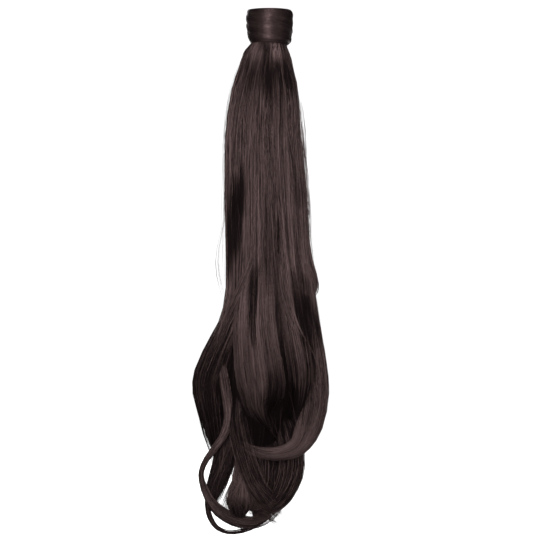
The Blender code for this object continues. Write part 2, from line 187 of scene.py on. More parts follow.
def shares(*rows):
    """Rows of shares that are given in thousandths, as an array."""
    return np.array(rows) / 1000


# The inner mass that the other locks lie on
CORE = shares(
    (100, -40, 0, 190, 210), (220, -40, 0, 230, 260), (360, -30, 10, 240, 290), (500, -10, 10, 270, 320),
    (620, -50, 10, 330, 370), (710, -70, 20, 360, 380), (790, -80, 30, 290, 330), (850, -100, 40, 210, 240),
    (900, -110, 40, 140, 150), (940, -90, 30, 80, 80),
)

# The left edge, straight above and swinging out into the wave below
LEFT_WAVE = shares(
    (20, -130, -30, 60, 100), (40, -155, -50, 60, 110), (100, -205, -50, 80, 150), (180, -240, -50, 85, 170),
    (300, -250, -30, 80, 180), (420, -250, -20, 75, 180), (500, -250, -20, 75, 190),
    (570, -285, -40, 90, 210), (630, -370, -60, 120, 230), (690, -435, -60, 135, 230),
    (750, -410, -40, 120, 200), (800, -385, -20, 100, 160), (850, -375, 0, 55, 100), (900, -405, 20, 30, 50),
)

# The right edge, rolling under to the left at its end
RIGHT_ROLL = shares(
    (20, 90, -20, 60, 100), (40, 105, -30, 60, 120), (100, 140, -30, 75, 160), (200, 155, -30, 80, 180),
    (320, 195, -20, 85, 190), (420, 210, -20, 85, 200), (520, 250, -40, 95, 220), (600, 275, -70, 110, 230),
    (670, 310, -100, 115, 230), (720, 320, -140, 110, 210), (775, 285, -190, 100, 180),
    (811, 225, -240, 75, 140), (828, 130, -290, 56, 110), (832, 0, -310, 44, 90), (823, -130, -310, 34, 70),
    (806, -230, -290, 22, 40),
)

# The large bright lock down the middle of the front
FRONT_SWEEP = shares(
    (20, -35, -90, 50, 100), (40, -50, -120, 60, 80), (100, -80, -160, 85, 110), (220, -100, -200, 110, 120),
    (360, -95, -220, 120, 130), (480, -100, -250, 130, 140), (565, -110, -290, 150, 160),
    (645, -85, -320, 170, 170), (700, -58, -330, 168, 150), (735, -62, -320, 125, 110),
    (762, -38, -300, 65, 70), (782, 0, -280, 25, 30),
)

# The lock between the front sweep and the right edge
FRONT_RIGHT = shares(
    (20, 35, -80, 50, 100), (40, 40, -110, 50, 90), (100, 60, -150, 75, 110), (220, 60, -190, 85, 120),
    (360, 90, -200, 90, 130), (480, 130, -220, 95, 130), (580, 190, -260, 100, 140),
    (660, 240, -290, 100, 140), (715, 235, -280, 80, 110), (755, 205, -260, 50, 70), (785, 170, -250, 28, 40),
    (805, 135, -250, 12, 20),
)

# A short lock that leaves the right edge and ends in a small curled tip
SIDE_TIP = shares(
    (220, 180, -50, 20, 30), (320, 230, -60, 34, 50), (400, 260, -70, 34, 50), (450, 295, -80, 32, 45),
    (482, 333, -90, 28, 35), (503, 342, -100, 18, 25), (512, 315, -110, 12, 16), (500, 290, -115, 8, 10),
)

# The curl under the right roll, sweeping left at the bottom
LOWER_ROLL = shares(
    (750, 80, 0, 50, 80), (800, 140, -90, 75, 130), (840, 165, -130, 90, 150), (880, 150, -130, 90, 140),
    (918, 90, -120, 75, 120), (940, 10, -110, 55, 90), (950, -100, -100, 35, 60), (945, -190, -80, 20, 30),
)

# Hair that falls from behind the front sweep to the lower right
CENTRE_FALL = shares(
    (700, -220, -160, 60, 100), (760, -240, -190, 70, 120), (810, -210, -200, 70, 120),
    (860, -160, -190, 70, 110), (900, -100, -170, 60, 90), (930, -20, -150, 55, 70), (955, 50, -130, 45, 50),
    (978, 110, -110, 35, 40),
)

# A fuzzy tuft under the hollow of the roll
CENTRE_TUFT = shares(
    (780, -160, -120, 60, 100), (850, -190, -140, 60, 90), (900, -205, -150, 80, 70),
    (935, -220, -140, 115, 55), (962, -215, -130, 120, 45), (978, -190, -120, 100, 30),
)

# A short strip beside the left curl, ending where the curl turns under
INNER_STRIP = shares(
    (760, -280, -80, 70, 80), (820, -315, -80, 85, 70), (860, -345, -80, 80, 60), (900, -392, -80, 62, 45),
    (930, -410, -90, 40, 35), (950, -405, -90, 25, 25),
)

# The thin curl at the left that swings out and sweeps under to the right
LEFT_CURL = shares(
    (640, -350, -210, 18, 30), (670, -340, -235, 34, 50), (710, -315, -240, 40, 55),
    (755, -298, -230, 32, 50), (795, -335, -220, 28, 45), (825, -410, -200, 24, 38),
    (850, -475, -170, 20, 33), (875, -505, -140, 19, 30), (900, -490, -120, 24, 32),
    (925, -450, -110, 30, 35), (950, -380, -100, 40, 40), (967, -280, -100, 44, 45),
    (975, -175, -110, 44, 45), (973, -80, -120, 38, 40), (960, 20, -130, 28, 32), (937, 100, -130, 16, 20),
)

# The lowest, thinnest strand, looping under the curls
BOTTOM_LOOP = shares(
    (860, -400, -20, 20, 25), (900, -450, -30, 18, 23), (935, -460, -40, 20, 22), (963, -445, -40, 20, 22),
    (985, -395, -50, 17, 20), (995, -320, -60, 14, 17), (995, -240, -70, 13, 16), (989, -160, -80, 12, 15),
    (978, -80, -100, 11, 14), (960, 0, -120, 10, 12), (940, 50, -120, 9, 11),
)

# Plain locks at the back, which the photograph does not show
BACK_CENTRE = shares(
    (20, -5, 100, 70, 95), (40, -10, 120, 80, 80), (100, -20, 170, 120, 100), (220, -30, 240, 140, 120),
    (380, -20, 270, 150, 120), (520, 0, 290, 160, 130), (640, -30, 340, 180, 140), (730, -80, 360, 160, 130),
    (800, -120, 320, 120, 110), (860, -130, 250, 80, 80), (900, -80, 190, 40, 50),
)
BACK_LEFT = shares(
    (20, -90, 60, 55, 110), (40, -110, 80, 60, 90), (100, -160, 120, 80, 100), (220, -180, 160, 100, 120),
    (380, -180, 170, 100, 120), (500, -190, 180, 100, 120), (600, -250, 200, 120, 140),
    (680, -320, 200, 130, 140), (750, -320, 170, 110, 120), (820, -270, 140, 80, 90),
    (880, -240, 120, 45, 50), (920, -260, 110, 20, 25),
)
BACK_RIGHT = shares(
    (20, 75, 60, 55, 110), (40, 80, 80, 50, 90), (100, 120, 120, 70, 100), (220, 130, 160, 90, 120),
    (380, 160, 170, 100, 120), (500, 180, 190, 110, 130), (600, 200, 220, 120, 140),
    (680, 230, 220, 130, 140), (740, 200, 220, 110, 130), (790, 130, 220, 80, 100), (830, 30, 220, 55, 70),
    (855, -50, 210, 30, 40),
)

# The thin outer layer that spreads from the collar and evens out the locks under it
VEIL = shares(
    (7, -4, 0, 150, 165), (20, -12, 0, 172, 187), (40, -18, 0, 196, 208), (100, -35, 0, 246, 265),
    (180, -47, 10, 274, 315), (300, -28, 15, 298, 350), (420, -15, 15, 306, 375), (500, 5, 10, 326, 405),
    (570, 5, 5, 360, 440),
)

# The messy hair that fills the space under the roll
NEST = shares(
    (770, -30, 40, 90, 80), (815, -20, -10, 130, 110), (850, -10, -60, 150, 120), (875, -10, -70, 150, 120),
    (905, -20, -80, 140, 100), (935, -45, -90, 125, 70), (960, -80, -90, 100, 50), (978, -110, -90, 70, 40),
)

# Thin wisps that stand clear of the tail at its left and right
LOOSE_LEFT = shares(
    (325, -310, -50, 5, 10), (370, -345, -60, 7, 10), (410, -375, -60, 10, 10), (445, -386, -60, 14, 10),
    (480, -372, -60, 14, 10), (510, -345, -50, 10, 10), (530, -325, -50, 6, 10),
)
LOOSE_RIGHT = shares(
    (95, 212, -40, 8, 20), (140, 238, -50, 14, 30), (180, 250, -50, 18, 40), (220, 256, -50, 18, 40),
    (260, 262, -40, 14, 30), (300, 272, -40, 10, 20),
)

# Thin light strands that cross from the front lock to the right roll
CROSSING = shares(
    (470, 75, -390, 20, 10), (520, 115, -400, 32, 12), (580, 190, -390, 36, 12), (635, 300, -330, 30, 12),
    (690, 380, -240, 18, 10),
)

# Strands that leave the middle of the front for the left wave
LEFT_CROSSING = shares(
    (420, -80, -385, 50, 16), (470, -125, -385, 70, 18), (520, -195, -340, 80, 18), (570, -275, -285, 75, 18),
    (620, -350, -250, 60, 16), (660, -405, -210, 40, 14),
)

# Single hairs across the dark hollow above the roll
HOLLOW_HAIRS = shares(
    (690, 20, -300, 110, 20), (735, 60, -310, 110, 20), (780, 110, -320, 100, 20), (820, 170, -330, 60, 20),
)

# Ragged tips that stand out at the lower right
RAGGED_TIPS = shares(
    (930, -100, -120, 30, 30), (945, -40, -120, 45, 30), (960, 40, -120, 50, 30), (975, 130, -120, 50, 30),
)

# Where the front of the hair opens into clefts of painted shade or stands out with painted highlights, from
# the collar down
CLEFTS = (
    # Painted highlight at the left, where the hair stands out
    Cleft(0.28, -0.0004, shares((0, -95, 35, 800), (20, -100, 40, 1000), (42, -115, 40, 0))),
    # Painted highlight at the right, where the hair stands out
    Cleft(0.4, -0.0006, shares((0, 46, 24, 800), (20, 52, 28, 1000), (46, 60, 30, 0))),
    # Painted shade in the middle under the collar
    Cleft(-0.3, 0.001, shares((0, -20, 18, 1000), (30, -18, 20, 1000), (48, -10, 30, 0))),
    # Shade under the collar
    Cleft(-0.26, 0.0, shares((-5, 0, 160, 800), (20, 0, 200, 400), (50, 20, 220, 1000), (85, 30, 240, 700),
          (120, 40, 260, 0))),
    # Painted shade in the fan
    Cleft(-0.42, 0.001, shares((30, 30, 60, 0), (45, 42, 78, 1000), (75, 55, 90, 900), (105, 60, 90, 0))),
    # Light strand at the top
    Cleft(0.22, -0.0006, shares((80, 0, 8, 0), (100, -14, 9, 1000), (143, -63, 10, 1000), (185, -92, 8, 0))),
    # Parting at the top, pressed back and with painted shade
    Cleft(-0.75, 0.0014, shares((80, 30, 6, 0), (100, 12, 9, 1000), (133, -35, 11, 1000), (170, -64, 9, 800),
          (205, -76, 6, 0))),
    # Shade beside the parting
    Cleft(-0.2, 0.0004, shares((90, 40, 40, 0), (115, 40, 60, 1000), (150, 45, 60, 800), (190, 50, 50, 0))),
    # Cleft at the left, pressed back and with painted shade
    Cleft(-0.85, 0.0034, shares((268, -205, 40, 0), (288, -213, 44, 900), (318, -235, 47, 1000),
          (361, -250, 50, 1000), (402, -270, 39, 1000), (431, -285, 30, 900), (462, -297, 24, 500),
          (505, -310, 20, 0))),
    # Shade at the right
    Cleft(-0.26, 0.0006, shares((245, 205, 30, 0), (280, 215, 36, 1000), (310, 222, 32, 800),
          (345, 230, 26, 0))),
    # Parting at the right, pressed back and with painted shade
    Cleft(-0.55, 0.0016, shares((255, 122, 6, 0), (275, 107, 7, 700), (300, 93, 9, 1000), (351, 69, 10, 1000),
          (402, 63, 10, 1000), (435, 62, 8, 600), (465, 60, 6, 0))),
    # Wedge of painted shade in the middle, pressed back
    Cleft(-0.46, 0.003, shares((445, -88, 26, 0), (475, -98, 36, 900), (508, -117, 33, 1000),
          (551, -122, 29, 1000), (592, -122, 16, 800), (622, -120, 10, 0))),
    # Shade in the sweep
    Cleft(-0.42, 0.001, shares((640, 80, 50, 0), (680, 75, 80, 600), (710, 75, 100, 1000),
          (740, 80, 90, 1000), (775, 85, 80, 600), (805, 100, 60, 0))),
    # Painted shade under the roll, pressed back
    Cleft(-0.9, 0.0012, shares((842, 20, 120, 0), (858, 30, 150, 1000), (890, 90, 130, 1000),
          (915, 115, 90, 800), (940, 100, 60, 0))),
    # Light tuft
    Cleft(0.14, -0.0008, shares((865, -130, 50, 0), (890, -150, 80, 800), (920, -150, 80, 1000),
          (945, -160, 60, 0))),
    # Wedge of painted shade at the right, pressed back
    Cleft(-0.75, 0.003, shares((495, 195, 34, 0), (515, 220, 40, 800), (532, 262, 62, 1000),
          (565, 282, 66, 1000), (606, 322, 50, 800), (640, 345, 36, 0))),
)

# Every lock with its strands, the ones that leave the collar first
# Their shade pairs paint shade into the hollow, the left wave and the lower curls, and a highlight on the
# right roll's band
LOCKS = (
    Lock("core", (0.0, 0.0, 0.7), CORE, 0.92,
         Cover(-90, 360, 40, 6, 0.6, 0.1, 0.1, ((0.5, -0.2), (0.68, -0.5), (0.74, -0.8), (0.84, -0.6)))),
    Lock("left_wave", (-0.6, -0.1, 0.36), LEFT_WAVE, 1.0,
         Cover(-150, 250, 48, 20, 0.6, 0.3, 0.02, ((0.24, 0.0), (0.5, -0.05), (0.57, -0.18), (0.62, -0.46),
               (0.78, -0.52), (0.86, -0.36)), 1.0, 1.3)),
    Lock("right_roll", (0.55, -0.1, 0.38), RIGHT_ROLL, 0.92,
         Cover(-40, 250, 48, 18, 0.6, 0.2, 0.1, ((0.6, 0.0), (0.68, -0.18), (0.76, -0.12), (0.8, 0.16),
               (0.84, 0.24)), 1.0, 1.8)),
    Lock("front_sweep", (-0.15, -0.45, 0.38), FRONT_SWEEP, 1.0,
         Cover(-90, 230, 50, 21, 0.6, 0.3, 0.06, ((0.45, 0.0), (0.56, 0.14), (0.7, 0.08), (0.78, -0.3)), 1.0,
               1.2)),
    Lock("front_right", (0.23, -0.42, 0.38), FRONT_RIGHT, 0.98,
         Cover(-80, 220, 32, 20, 0.6, 0.36, 0.1, ((0.6, 0.0), (0.7, -0.25), (0.76, -0.6), (0.82, -0.6)))),
    Lock("back_centre", (0.0, 0.45, 0.38), BACK_CENTRE, 0.94, Cover(90, 220, 30, 12, 0.5, 0.14, 0.04)),
    Lock("back_left", (-0.42, 0.32, 0.38), BACK_LEFT, 0.94, Cover(125, 220, 24, 12, 0.5, 0.14, 0.04)),
    Lock("back_right", (0.42, 0.32, 0.38), BACK_RIGHT, 0.94, Cover(55, 220, 24, 12, 0.5, 0.14, 0.04)),
    Lock("side_tip", None, SIDE_TIP, 0.94, Cover(-60, 360, 8, 12, 0.3, 0.04)),
    Lock("lower_roll", None, LOWER_ROLL, 0.94,
         Cover(-90, 360, 34, 16, 0.4, 0.3, 0.25, ((0.8, -0.55), (0.88, -0.5), (0.93, -0.2)), 0.9, 6.0)),
    Lock("centre_fall", None, CENTRE_FALL, 0.86,
         Cover(-90, 360, 26, 16, 0.4, 0.35, 0.6, ((0.76, -0.8), (0.84, -0.6), (0.9, -0.2)), 0.8, 8.0)),
    Lock("centre_tuft", None, CENTRE_TUFT, 0.9,
         Cover(-90, 360, 32, 18, 0.4, 0.3, 0.5, ((0.8, -0.45), (0.87, 0.0), (0.91, 0.05), (0.95, -0.25)), 0.7,
               9.0)),
    Lock("nest", None, NEST, 0.95,
         Cover(-90, 300, 40, 16, 0.5, 0.4, 0.35, ((0.78, -0.9), (0.82, -0.6), (0.88, -0.35), (0.94, -0.2)),
               0.7, 9.0)),
    Lock("inner_strip", None, INNER_STRIP, 0.94,
         Cover(-90, 360, 20, 16, 0.3, 0.25, 0.35, ((0.76, -0.2), (0.82, -0.3), (0.92, -0.35)), 0.9, 5.0)),
    Lock("left_curl", None, LEFT_CURL, 0.92,
         Cover(-90, 360, 18, 14, 0.15, 0.14, 0.2, ((0.66, -0.15), (0.74, 0.0), (0.8, 0.02), (0.86, -0.32),
               (0.92, -0.12), (0.97, -0.22)), 0.9, 5.0)),
    Lock("bottom_loop", None, BOTTOM_LOOP, 0.62,
         Cover(-90, 360, 10, 14, 0.3, 0.2, 0.9, ((0.9, -0.4),), 0.8, 6.0)),
    Lock("crown", WHOLE_FOOT, VEIL[:6], 0.0, Cover(-90, 360, 110, 12, 0.0, 0.8, 0.1, FAN_SHADE)),
    Lock("veil_front", WHOLE_FOOT, VEIL, 0.0, Cover(-84, 90, 50, 20, 0.5, 0.6, 0.1, FAN_SHADE)),
    Lock("veil_right", WHOLE_FOOT, VEIL[:8], 0.0, Cover(-20, 56, 28, 15, 0.4, 0.5)),
    Lock("veil_left", WHOLE_FOOT, VEIL[:7], 0.0, Cover(180, 60, 24, 15, 0.4, 0.5)),
    Lock("veil_back", WHOLE_FOOT, VEIL, 0.0, Cover(90, 150, 50, 10, 0.0, 0.4)),
    Lock("crossing", None, CROSSING, 0.0, Cover(-90, 300, 9, 8, 0.4, 0.5, 0.2, ((0.0, 0.12),), 1.0, 2.0)),
    Lock("left_crossing", None, LEFT_CROSSING, 0.0,
         Cover(-90, 300, 16, 8, 0.4, 0.5, 0.2, ((0.0, 0.06),), 1.0, 2.0)),
    Lock("hollow_hairs", None, HOLLOW_HAIRS, 0.0,
         Cover(-90, 360, 12, 2, 0.6, 0.6, 0.3, ((0.0, 0.1),), 0.5, 5.0)),
    Lock("ragged_tips", None, RAGGED_TIPS, 0.0,
         Cover(-90, 360, 30, 8, 0.5, 0.7, 0.8, ((0.0, -0.1),), 0.9, 6.0)),
    Lock("loose_left", None, LOOSE_LEFT, 0.0, Cover(-90, 360, 3, 3, 0.2, 0.2, 0.5, ((0.0, 0.1),), 0.6, 2.0)),
    Lock("loose_right", None, LOOSE_RIGHT, 0.0,
         Cover(-90, 360, 8, 5, 0.6, 0.6, 0.5, ((0.0, 0.15),), 0.6, 3.0)),
)

# Single hairs that stand off the tail
FLYAWAYS = (
    Lock("fly_veil", WHOLE_FOOT, VEIL, 0.0, Cover(-90, 360, 130, 1, 0.85, 0.85, 0.02)),
    Lock("fly_edge_left", None, VEIL, 0.0, Cover(180, 40, 60, 1, 0.93, 0.93, 0.04)),
    Lock("fly_edge_right", None, VEIL[3:], 0.0, Cover(0, 40, 150, 1, 0.93, 0.93, 0.04)),
    Lock("fly_left", None, LEFT_WAVE[6:], 0.0, Cover(-150, 220, 40, 1, 0.7, 0.7, 0.02)),
    Lock("fly_right", None, RIGHT_ROLL[6:], 0.0, Cover(-40, 220, 80, 1, 0.7, 0.7, 0.1)),
    Lock("fly_lower", None, LOWER_ROLL, 0.0, Cover(-60, 300, 110, 1, 0.6, 0.5, 0.3)),
    Lock("fly_fall", None, CENTRE_FALL, 0.0, Cover(-90, 360, 120, 1, 0.5, 0.3, 0.9)),
    Lock("fly_tuft", None, CENTRE_TUFT, 0.0, Cover(-90, 360, 90, 1, 0.5, 0.4, 0.5)),
    Lock("fly_nest", None, NEST, 0.0, Cover(-90, 360, 130, 1, 0.5, 0.5, 0.4)),
    Lock("fly_curl", None, LEFT_CURL, 0.0, Cover(-90, 360, 30, 1, 0.7, 0.6, 0.5)),
    Lock("fly_back", None, BACK_CENTRE[3:], 0.0, Cover(90, 240, 60, 1, 0.7, 0.7, 0.1)),
)

# Which locks' strands are joined into each piece, so that no piece grows too large
STRAND_PIECES = {
    "strands_crown": ("crown", "veil_front", "veil_right", "veil_left", "veil_back"),
    "strands_front": (
        "front_sweep", "front_right", "side_tip", "crossing", "left_crossing", "loose_left", "loose_right",
    ),
    "strands_left": ("left_wave", "left_curl", "inner_strip", "bottom_loop"),
    "strands_right": ("right_roll", "lower_roll", "centre_fall"),
    "strands_middle": ("centre_tuft", "nest", "hollow_hairs", "ragged_tips"),
    "strands_back": ("back_centre", "back_left", "back_right", "core"),
}


# Geometry shared by the pieces


def placed(lock):
    """A lock's sections in metres, as rows of x, y, z, half width and half depth, from inside the collar."""
    down, across, deep, half_wide, half_deep = lock.sections.T
    rows = np.stack([
        across * TAIL_WIDTH, deep * TAIL_DEPTH, -COLLAR_HEIGHT - down * TAIL_LENGTH,
        half_wide * TAIL_WIDTH, half_deep * TAIL_DEPTH,
    ], axis=1)
    if not lock.root:
        return rows
    x, y, half = (share * ROOTS_RADIUS for share in lock.root)
    neck = NECK_SHARE
    inside = (x * neck, y * neck, TAIL_HIGH.z, half * neck, half * neck)
    return np.vstack([inside, (x, y, -COLLAR_HEIGHT, half, half), rows])


def smooth_rows(rows, steps):
    """The rows and others between them, on a smooth curve that passes through them all."""
    last = len(rows) - 1
    smooth = []
    for index in range(last):
        before, after = rows[max(index - 1, 0)], rows[min(index + 2, last)]
        start, end = rows[index], rows[index + 1]
        for t in np.arange(steps) / steps:
            smooth.append(0.5 * (2 * start + (end - before) * t
                                 + (2 * before - 5 * start + 4 * end - after) * t ** 2
                                 + (3 * start - before - 3 * end + after) * t ** 3))
    return np.array([*smooth, rows[last]])


def shade_at(lock, z):
    """The painted shade and highlights in the tone of a lock's strands at heights z."""
    down, shift = np.array(lock.cover.shade).T
    return np.interp((-COLLAR_HEIGHT - z) / TAIL_LENGTH, down, shift)


def press_clefts(points, tones):
    """The points and tones of some of the tail's hair, each cleft pressed into its front and painted into its
    tone.
    """
    reach = 0.010
    ragged = 0.018
    wide = 1.6
    points = np.array(points, float)
    tones = np.array(tones, float)
    down = (-COLLAR_HEIGHT - points[:, 2]) / TAIL_LENGTH + ragged * (tones - 0.5)
    across = points[:, 0] / TAIL_WIDTH
    front = np.clip(-points[:, 1] / reach, 0, 1)
    for cleft in CLEFTS:
        at, middle, half, strength = cleft.rows.T
        width = np.interp(down, at, half)
        near = np.clip(wide - np.abs(across - np.interp(down, at, middle)) / width, 0, 1)
        weight = near * near * (3 - 2 * near) * np.interp(down, at, strength, 0, 0) * front
        points[:, 1] += weight * cleft.depth
        # Paint the cleft's shade or highlight into the strands' tone
        tones += weight * cleft.shift
    return points, tones


class Path(NamedTuple):
    """A lock's middle line as arrays: places, the directions across and through it, and its half sizes."""

    centre: np.ndarray
    side: np.ndarray
    face: np.ndarray
    half_wide: np.ndarray
    half_deep: np.ndarray
    along: np.ndarray


def unit(vectors):
    return vectors / np.maximum(np.linalg.norm(vectors, axis=1, keepdims=True), 1e-9)


def lock_path(lock, longest_step, largest_turn):
    """A lock's path, with points closer together where it bends."""
    steps_between_rows = 16
    dense = smooth_rows(placed(lock), steps_between_rows)
    centre = dense[:, :3]
    run = unit(np.gradient(centre, axis=0))
    steps = np.linalg.norm(np.diff(centre, axis=0), axis=1)
    turns = np.arccos(np.clip((run[1:] * run[:-1]).sum(axis=1), -1, 1))
    cost = np.concatenate([[0.0], np.cumsum(steps / longest_step + turns / largest_turn)])
    along = np.concatenate([[0.0], np.cumsum(steps)])
    at = np.linspace(0.0, cost[-1], int(np.ceil(cost[-1])) + 1)

    def pick(columns):
        return np.stack([np.interp(at, cost, column) for column in columns.T], axis=1)

    side = unit(np.cross(run, (0.0, 1.0, 0.0)))
    face = unit(np.cross(side, run))
    sizes = pick(np.column_stack([dense[:, 3:], along]))
    return Path(pick(centre), unit(pick(side)), unit(pick(face)), *sizes.T)


def circle(sides):
    """The angles of so many points round a circle."""
    return np.arange(sides) * 2 * pi / sides


def round_axis(radius, angles, z):
    """Points round the upright axis."""
    return np.stack(np.broadcast_arrays(radius * np.cos(angles), radius * np.sin(angles), z), axis=1)


def hold(mesh, name, values, kind="FLOAT"):
    """Store numbers or vectors as an attribute of a mesh's points."""
    flat = np.array(values, np.int32 if kind == "INT" else np.float32).ravel()
    field = "vector" if kind == "FLOAT_VECTOR" else "value"
    mesh.attributes.new(name, kind, "POINT").data.foreach_set(field, flat)


def add_object(name, data):
    """A new object in the scene that holds the data."""
    made = bpy.data.objects.new(name, data)
    bpy.context.scene.collection.objects.link(made)
    return made


class Shell:
    """Gathers closed tubes and rings of one mesh, each point with a tone and its distance along the hair."""

    def __init__(self):
        self.points, self.faces, self.tones, self.alongs, self.lays = [], [], [], [], []

    def add_points(self, points, tones=0.0, alongs=0.0, lays=(0.0, 0.0, 0.0)):
        """Add points with their tone, distance along the hair and lay, and return the first's number.

        A lay's first two numbers are a place across the hair in metres, and its third runs slowly along it.
        """
        first = len(self.points)
        count = len(points)
        self.points.extend(map(tuple, points))
        self.tones.extend(np.broadcast_to(tones, count).tolist())
        self.alongs.extend(np.broadcast_to(alongs, count).tolist())
        self.lays.extend(np.broadcast_to(lays, (count, 3)).tolist())
        return first

    def bridge(self, rings, count, inside_out=False):
        """Quads between each ring of points and the next, given the rings' first indices."""
        for upper, lower in zip(rings, rings[1:]):
            if inside_out:
                upper, lower = lower, upper
            for side in range(count):
                after = (side + 1) % count
                self.faces.append((upper + side, upper + after, lower + after, lower + side))

    def build(self, name, material):
        mesh = bpy.data.meshes.new(name)
        mesh.from_pydata(self.points, [], self.faces)
        hold(mesh, "tone", self.tones)
        hold(mesh, "along", self.alongs)
        hold(mesh, "lay", self.lays, "FLOAT_VECTOR")
        mesh.materials.append(material)
        mesh.shade_smooth()
        return add_object(name, mesh)


def collar_radius(down, angle):
    """Radius of the wound hair at a share of its height below the rim: a barrel with slanting turns."""
    barrel = COLLAR_BULGE * np.sin(pi * (BARREL_START + (1 - BARREL_START) * down))
    shoulder = COLLAR_SHOULDER * np.maximum(0.0, 1 - down / SHOULDER_SHARE) ** 2
    turn = COLLAR_TURN_RELIEF * (np.abs(np.sin(pi * COLLAR_TURNS * down - angle / 2)) - 0.5)
    near_foot = np.maximum(0.0, (down - COLLAR_FOOT_SHARE) / (1 - COLLAR_FOOT_SHARE))
    return COLLAR_FOOT_RADIUS + barrel - shoulder + turn - COLLAR_FOOT_ROUND * near_foot ** 2


def finish(piece, stands_for):
    """Fix a finished piece to the hairpiece's body and hide the CAD node it stands for."""
    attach(piece, "root")
    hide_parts(stands_for)


# Node trees


class Field:
    """A number's socket in a node tree that can be added, multiplied and so on, each making a Math node."""

    def __init__(self, nodes, socket):
        self.nodes = nodes
        self.socket = socket

    def __add__(self, other):
        return self.nodes.math("ADD", self, other)

    def __sub__(self, other):
        return self.nodes.math("SUBTRACT", self, other)

    def __rsub__(self, other):
        return self.nodes.math("SUBTRACT", other, self)

    def __mul__(self, other):
        return self.nodes.math("MULTIPLY", self, other)

    def __truediv__(self, other):
        return self.nodes.math("DIVIDE", self, other)

    __radd__ = __add__
    __rmul__ = __mul__


class Nodes:
    """Adds nodes to a tree. Each method returns the new node's first output, or outputs, as fields."""

    def __init__(self, tree):
        self.tree = tree
        self.seed = None

    def node(self, kind, *values, **settings):
        """A node with its settings made and its open inputs fed in order. None leaves an input as it is."""
        node = self.tree.nodes.new(kind)
        for name, value in settings.items():
            setattr(node, name, value)
        for socket, value in zip([s for s in node.inputs if s.enabled], values):
            if isinstance(value, Field):
                self.tree.links.new(value.socket, socket)
            elif value is not None:
                socket.default_value = value
        return node

    def add(self, kind, *values, **settings):
        node = self.node(kind, *values, **settings)
        return Field(self, next(s for s in node.outputs if s.enabled))

    def output(self, label, kind, *values, **settings):
        """A new node's output of one name."""
        return Field(self, self.node(kind, *values, **settings).outputs[label])

    def math(self, operation, a, b=None):
        return self.add("ShaderNodeMath", a, b, operation=operation)

    def sine(self, angle):
        return self.math("SINE", angle)

    def cosine(self, angle):
        return self.math("COSINE", angle)

    def ease(self, value, *ends, **settings):
        """A value moved from the range between the first two ends to the range between the last two."""
        return self.add("ShaderNodeMapRange", value, *ends, **settings)

    def attribute(self, name, kind="FLOAT"):
        return self.add("GeometryNodeInputNamedAttribute", name, data_type=kind)

    def random(self, low, high, key, number):
        """A number from low to high that stays the same for one key, unlike those of other numbers."""
        return self.add("FunctionNodeRandomValue", low, high, key, self.seed + float(number))

    def wander(self, along, cycles_per_metre, phase):
        """A smooth wavering from about -1 to 1 along a strand."""
        stretch = 2.6
        noise = self.add("ShaderNodeTexNoise", along * cycles_per_metre + phase, 1.0, 1.0, 0.5,
                         noise_dimensions="1D", normalize=True)
        return (noise - 0.5) * stretch

    def scaled(self, vector, factor):
        node = self.node("ShaderNodeVectorMath", vector, operation="SCALE")
        self.tree.links.new(factor.socket, node.inputs["Scale"])
        return Field(self, node.outputs["Vector"])

    def round_axis(self, radius, angle, z):
        """A place round the upright axis."""
        return self.add("ShaderNodeCombineXYZ", radius * self.cosine(angle), radius * self.sine(angle), z)

    def copies(self, curves, count):
        """So many copies of each curve, and each one's number."""
        node = self.node("GeometryNodeDuplicateElements", curves, None, count, domain="SPLINE")
        return Field(self, node.outputs["Geometry"]), Field(self, node.outputs["Duplicate Index"])

    def lines(self, points, count):
        """So many straight curves with points along them, and each one's number."""
        line = self.add("GeometryNodeCurvePrimitiveLine", None, (0.0, 0.0, 1.0))
        return self.copies(self.add("GeometryNodeResampleCurve", line, None, points), count)

    def store(self, geometry, domain="CURVE", **values):
        """Store fields with a geometry's curves or points, each under its name."""
        for name, value in values.items():
            geometry = self.add("GeometryNodeStoreNamedAttribute", geometry, None, name, value,
                                data_type="FLOAT", domain=domain)
        return geometry

    def end(self, mesh, material):
        """End the tree with the mesh smooth shaded, realized and with its material."""
        smooth = self.add("GeometryNodeSetShadeSmooth", mesh, None, True)
        real = self.add("GeometryNodeRealizeInstances", smooth)
        finished = self.add("GeometryNodeSetMaterial", real, None, material)
        output = self.tree.nodes.new("NodeGroupOutput")
        self.tree.links.new(finished.socket, output.inputs["Geometry"])

    def end_in_tubes(self, curves, width, root_share, tip_share, material):
        """End the tree with curves in a closed three-sided skin that thins over shares of their length."""
        root_size, tip_size = 0.45, 0.18
        factor = self.add("GeometryNodeSplineParameter")
        root = self.ease(factor, 0.0, root_share, root_size, 1.0)
        tip = self.ease(factor, 1.0 - tip_share, 1.0, 1.0, tip_size)
        radius = width / 2.0 * self.attribute("thickness") * root * tip
        profile = self.add("GeometryNodeCurvePrimitiveCircle", 3, None, None, None, 1.0, mode="RADIUS")
        self.end(self.add("GeometryNodeCurveToMesh", curves, profile, radius, True), material)


def new_tree(name, floats, whole_numbers=()):
    """A geometry tree with a geometry, a material and the named number inputs, and its inputs as fields."""
    tree = bpy.data.node_groups.new(name, "GeometryNodeTree")
    tree.interface.new_socket("Geometry", in_out="OUTPUT", socket_type="NodeSocketGeometry")
    for labels, kind in (
        (["Geometry"], "NodeSocketGeometry"), (floats, "NodeSocketFloat"), (whole_numbers, "NodeSocketInt"),
        (["Material"], "NodeSocketMaterial"),
    ):
        for label in labels:
            tree.interface.new_socket(label, in_out="INPUT", socket_type=kind)
    nodes = Nodes(tree)
    entry = tree.nodes.new("NodeGroupInput")
    given = {socket.name: Field(nodes, socket) for socket in entry.outputs if socket.name}
    nodes.seed = given.get("Seed")
    return nodes, given


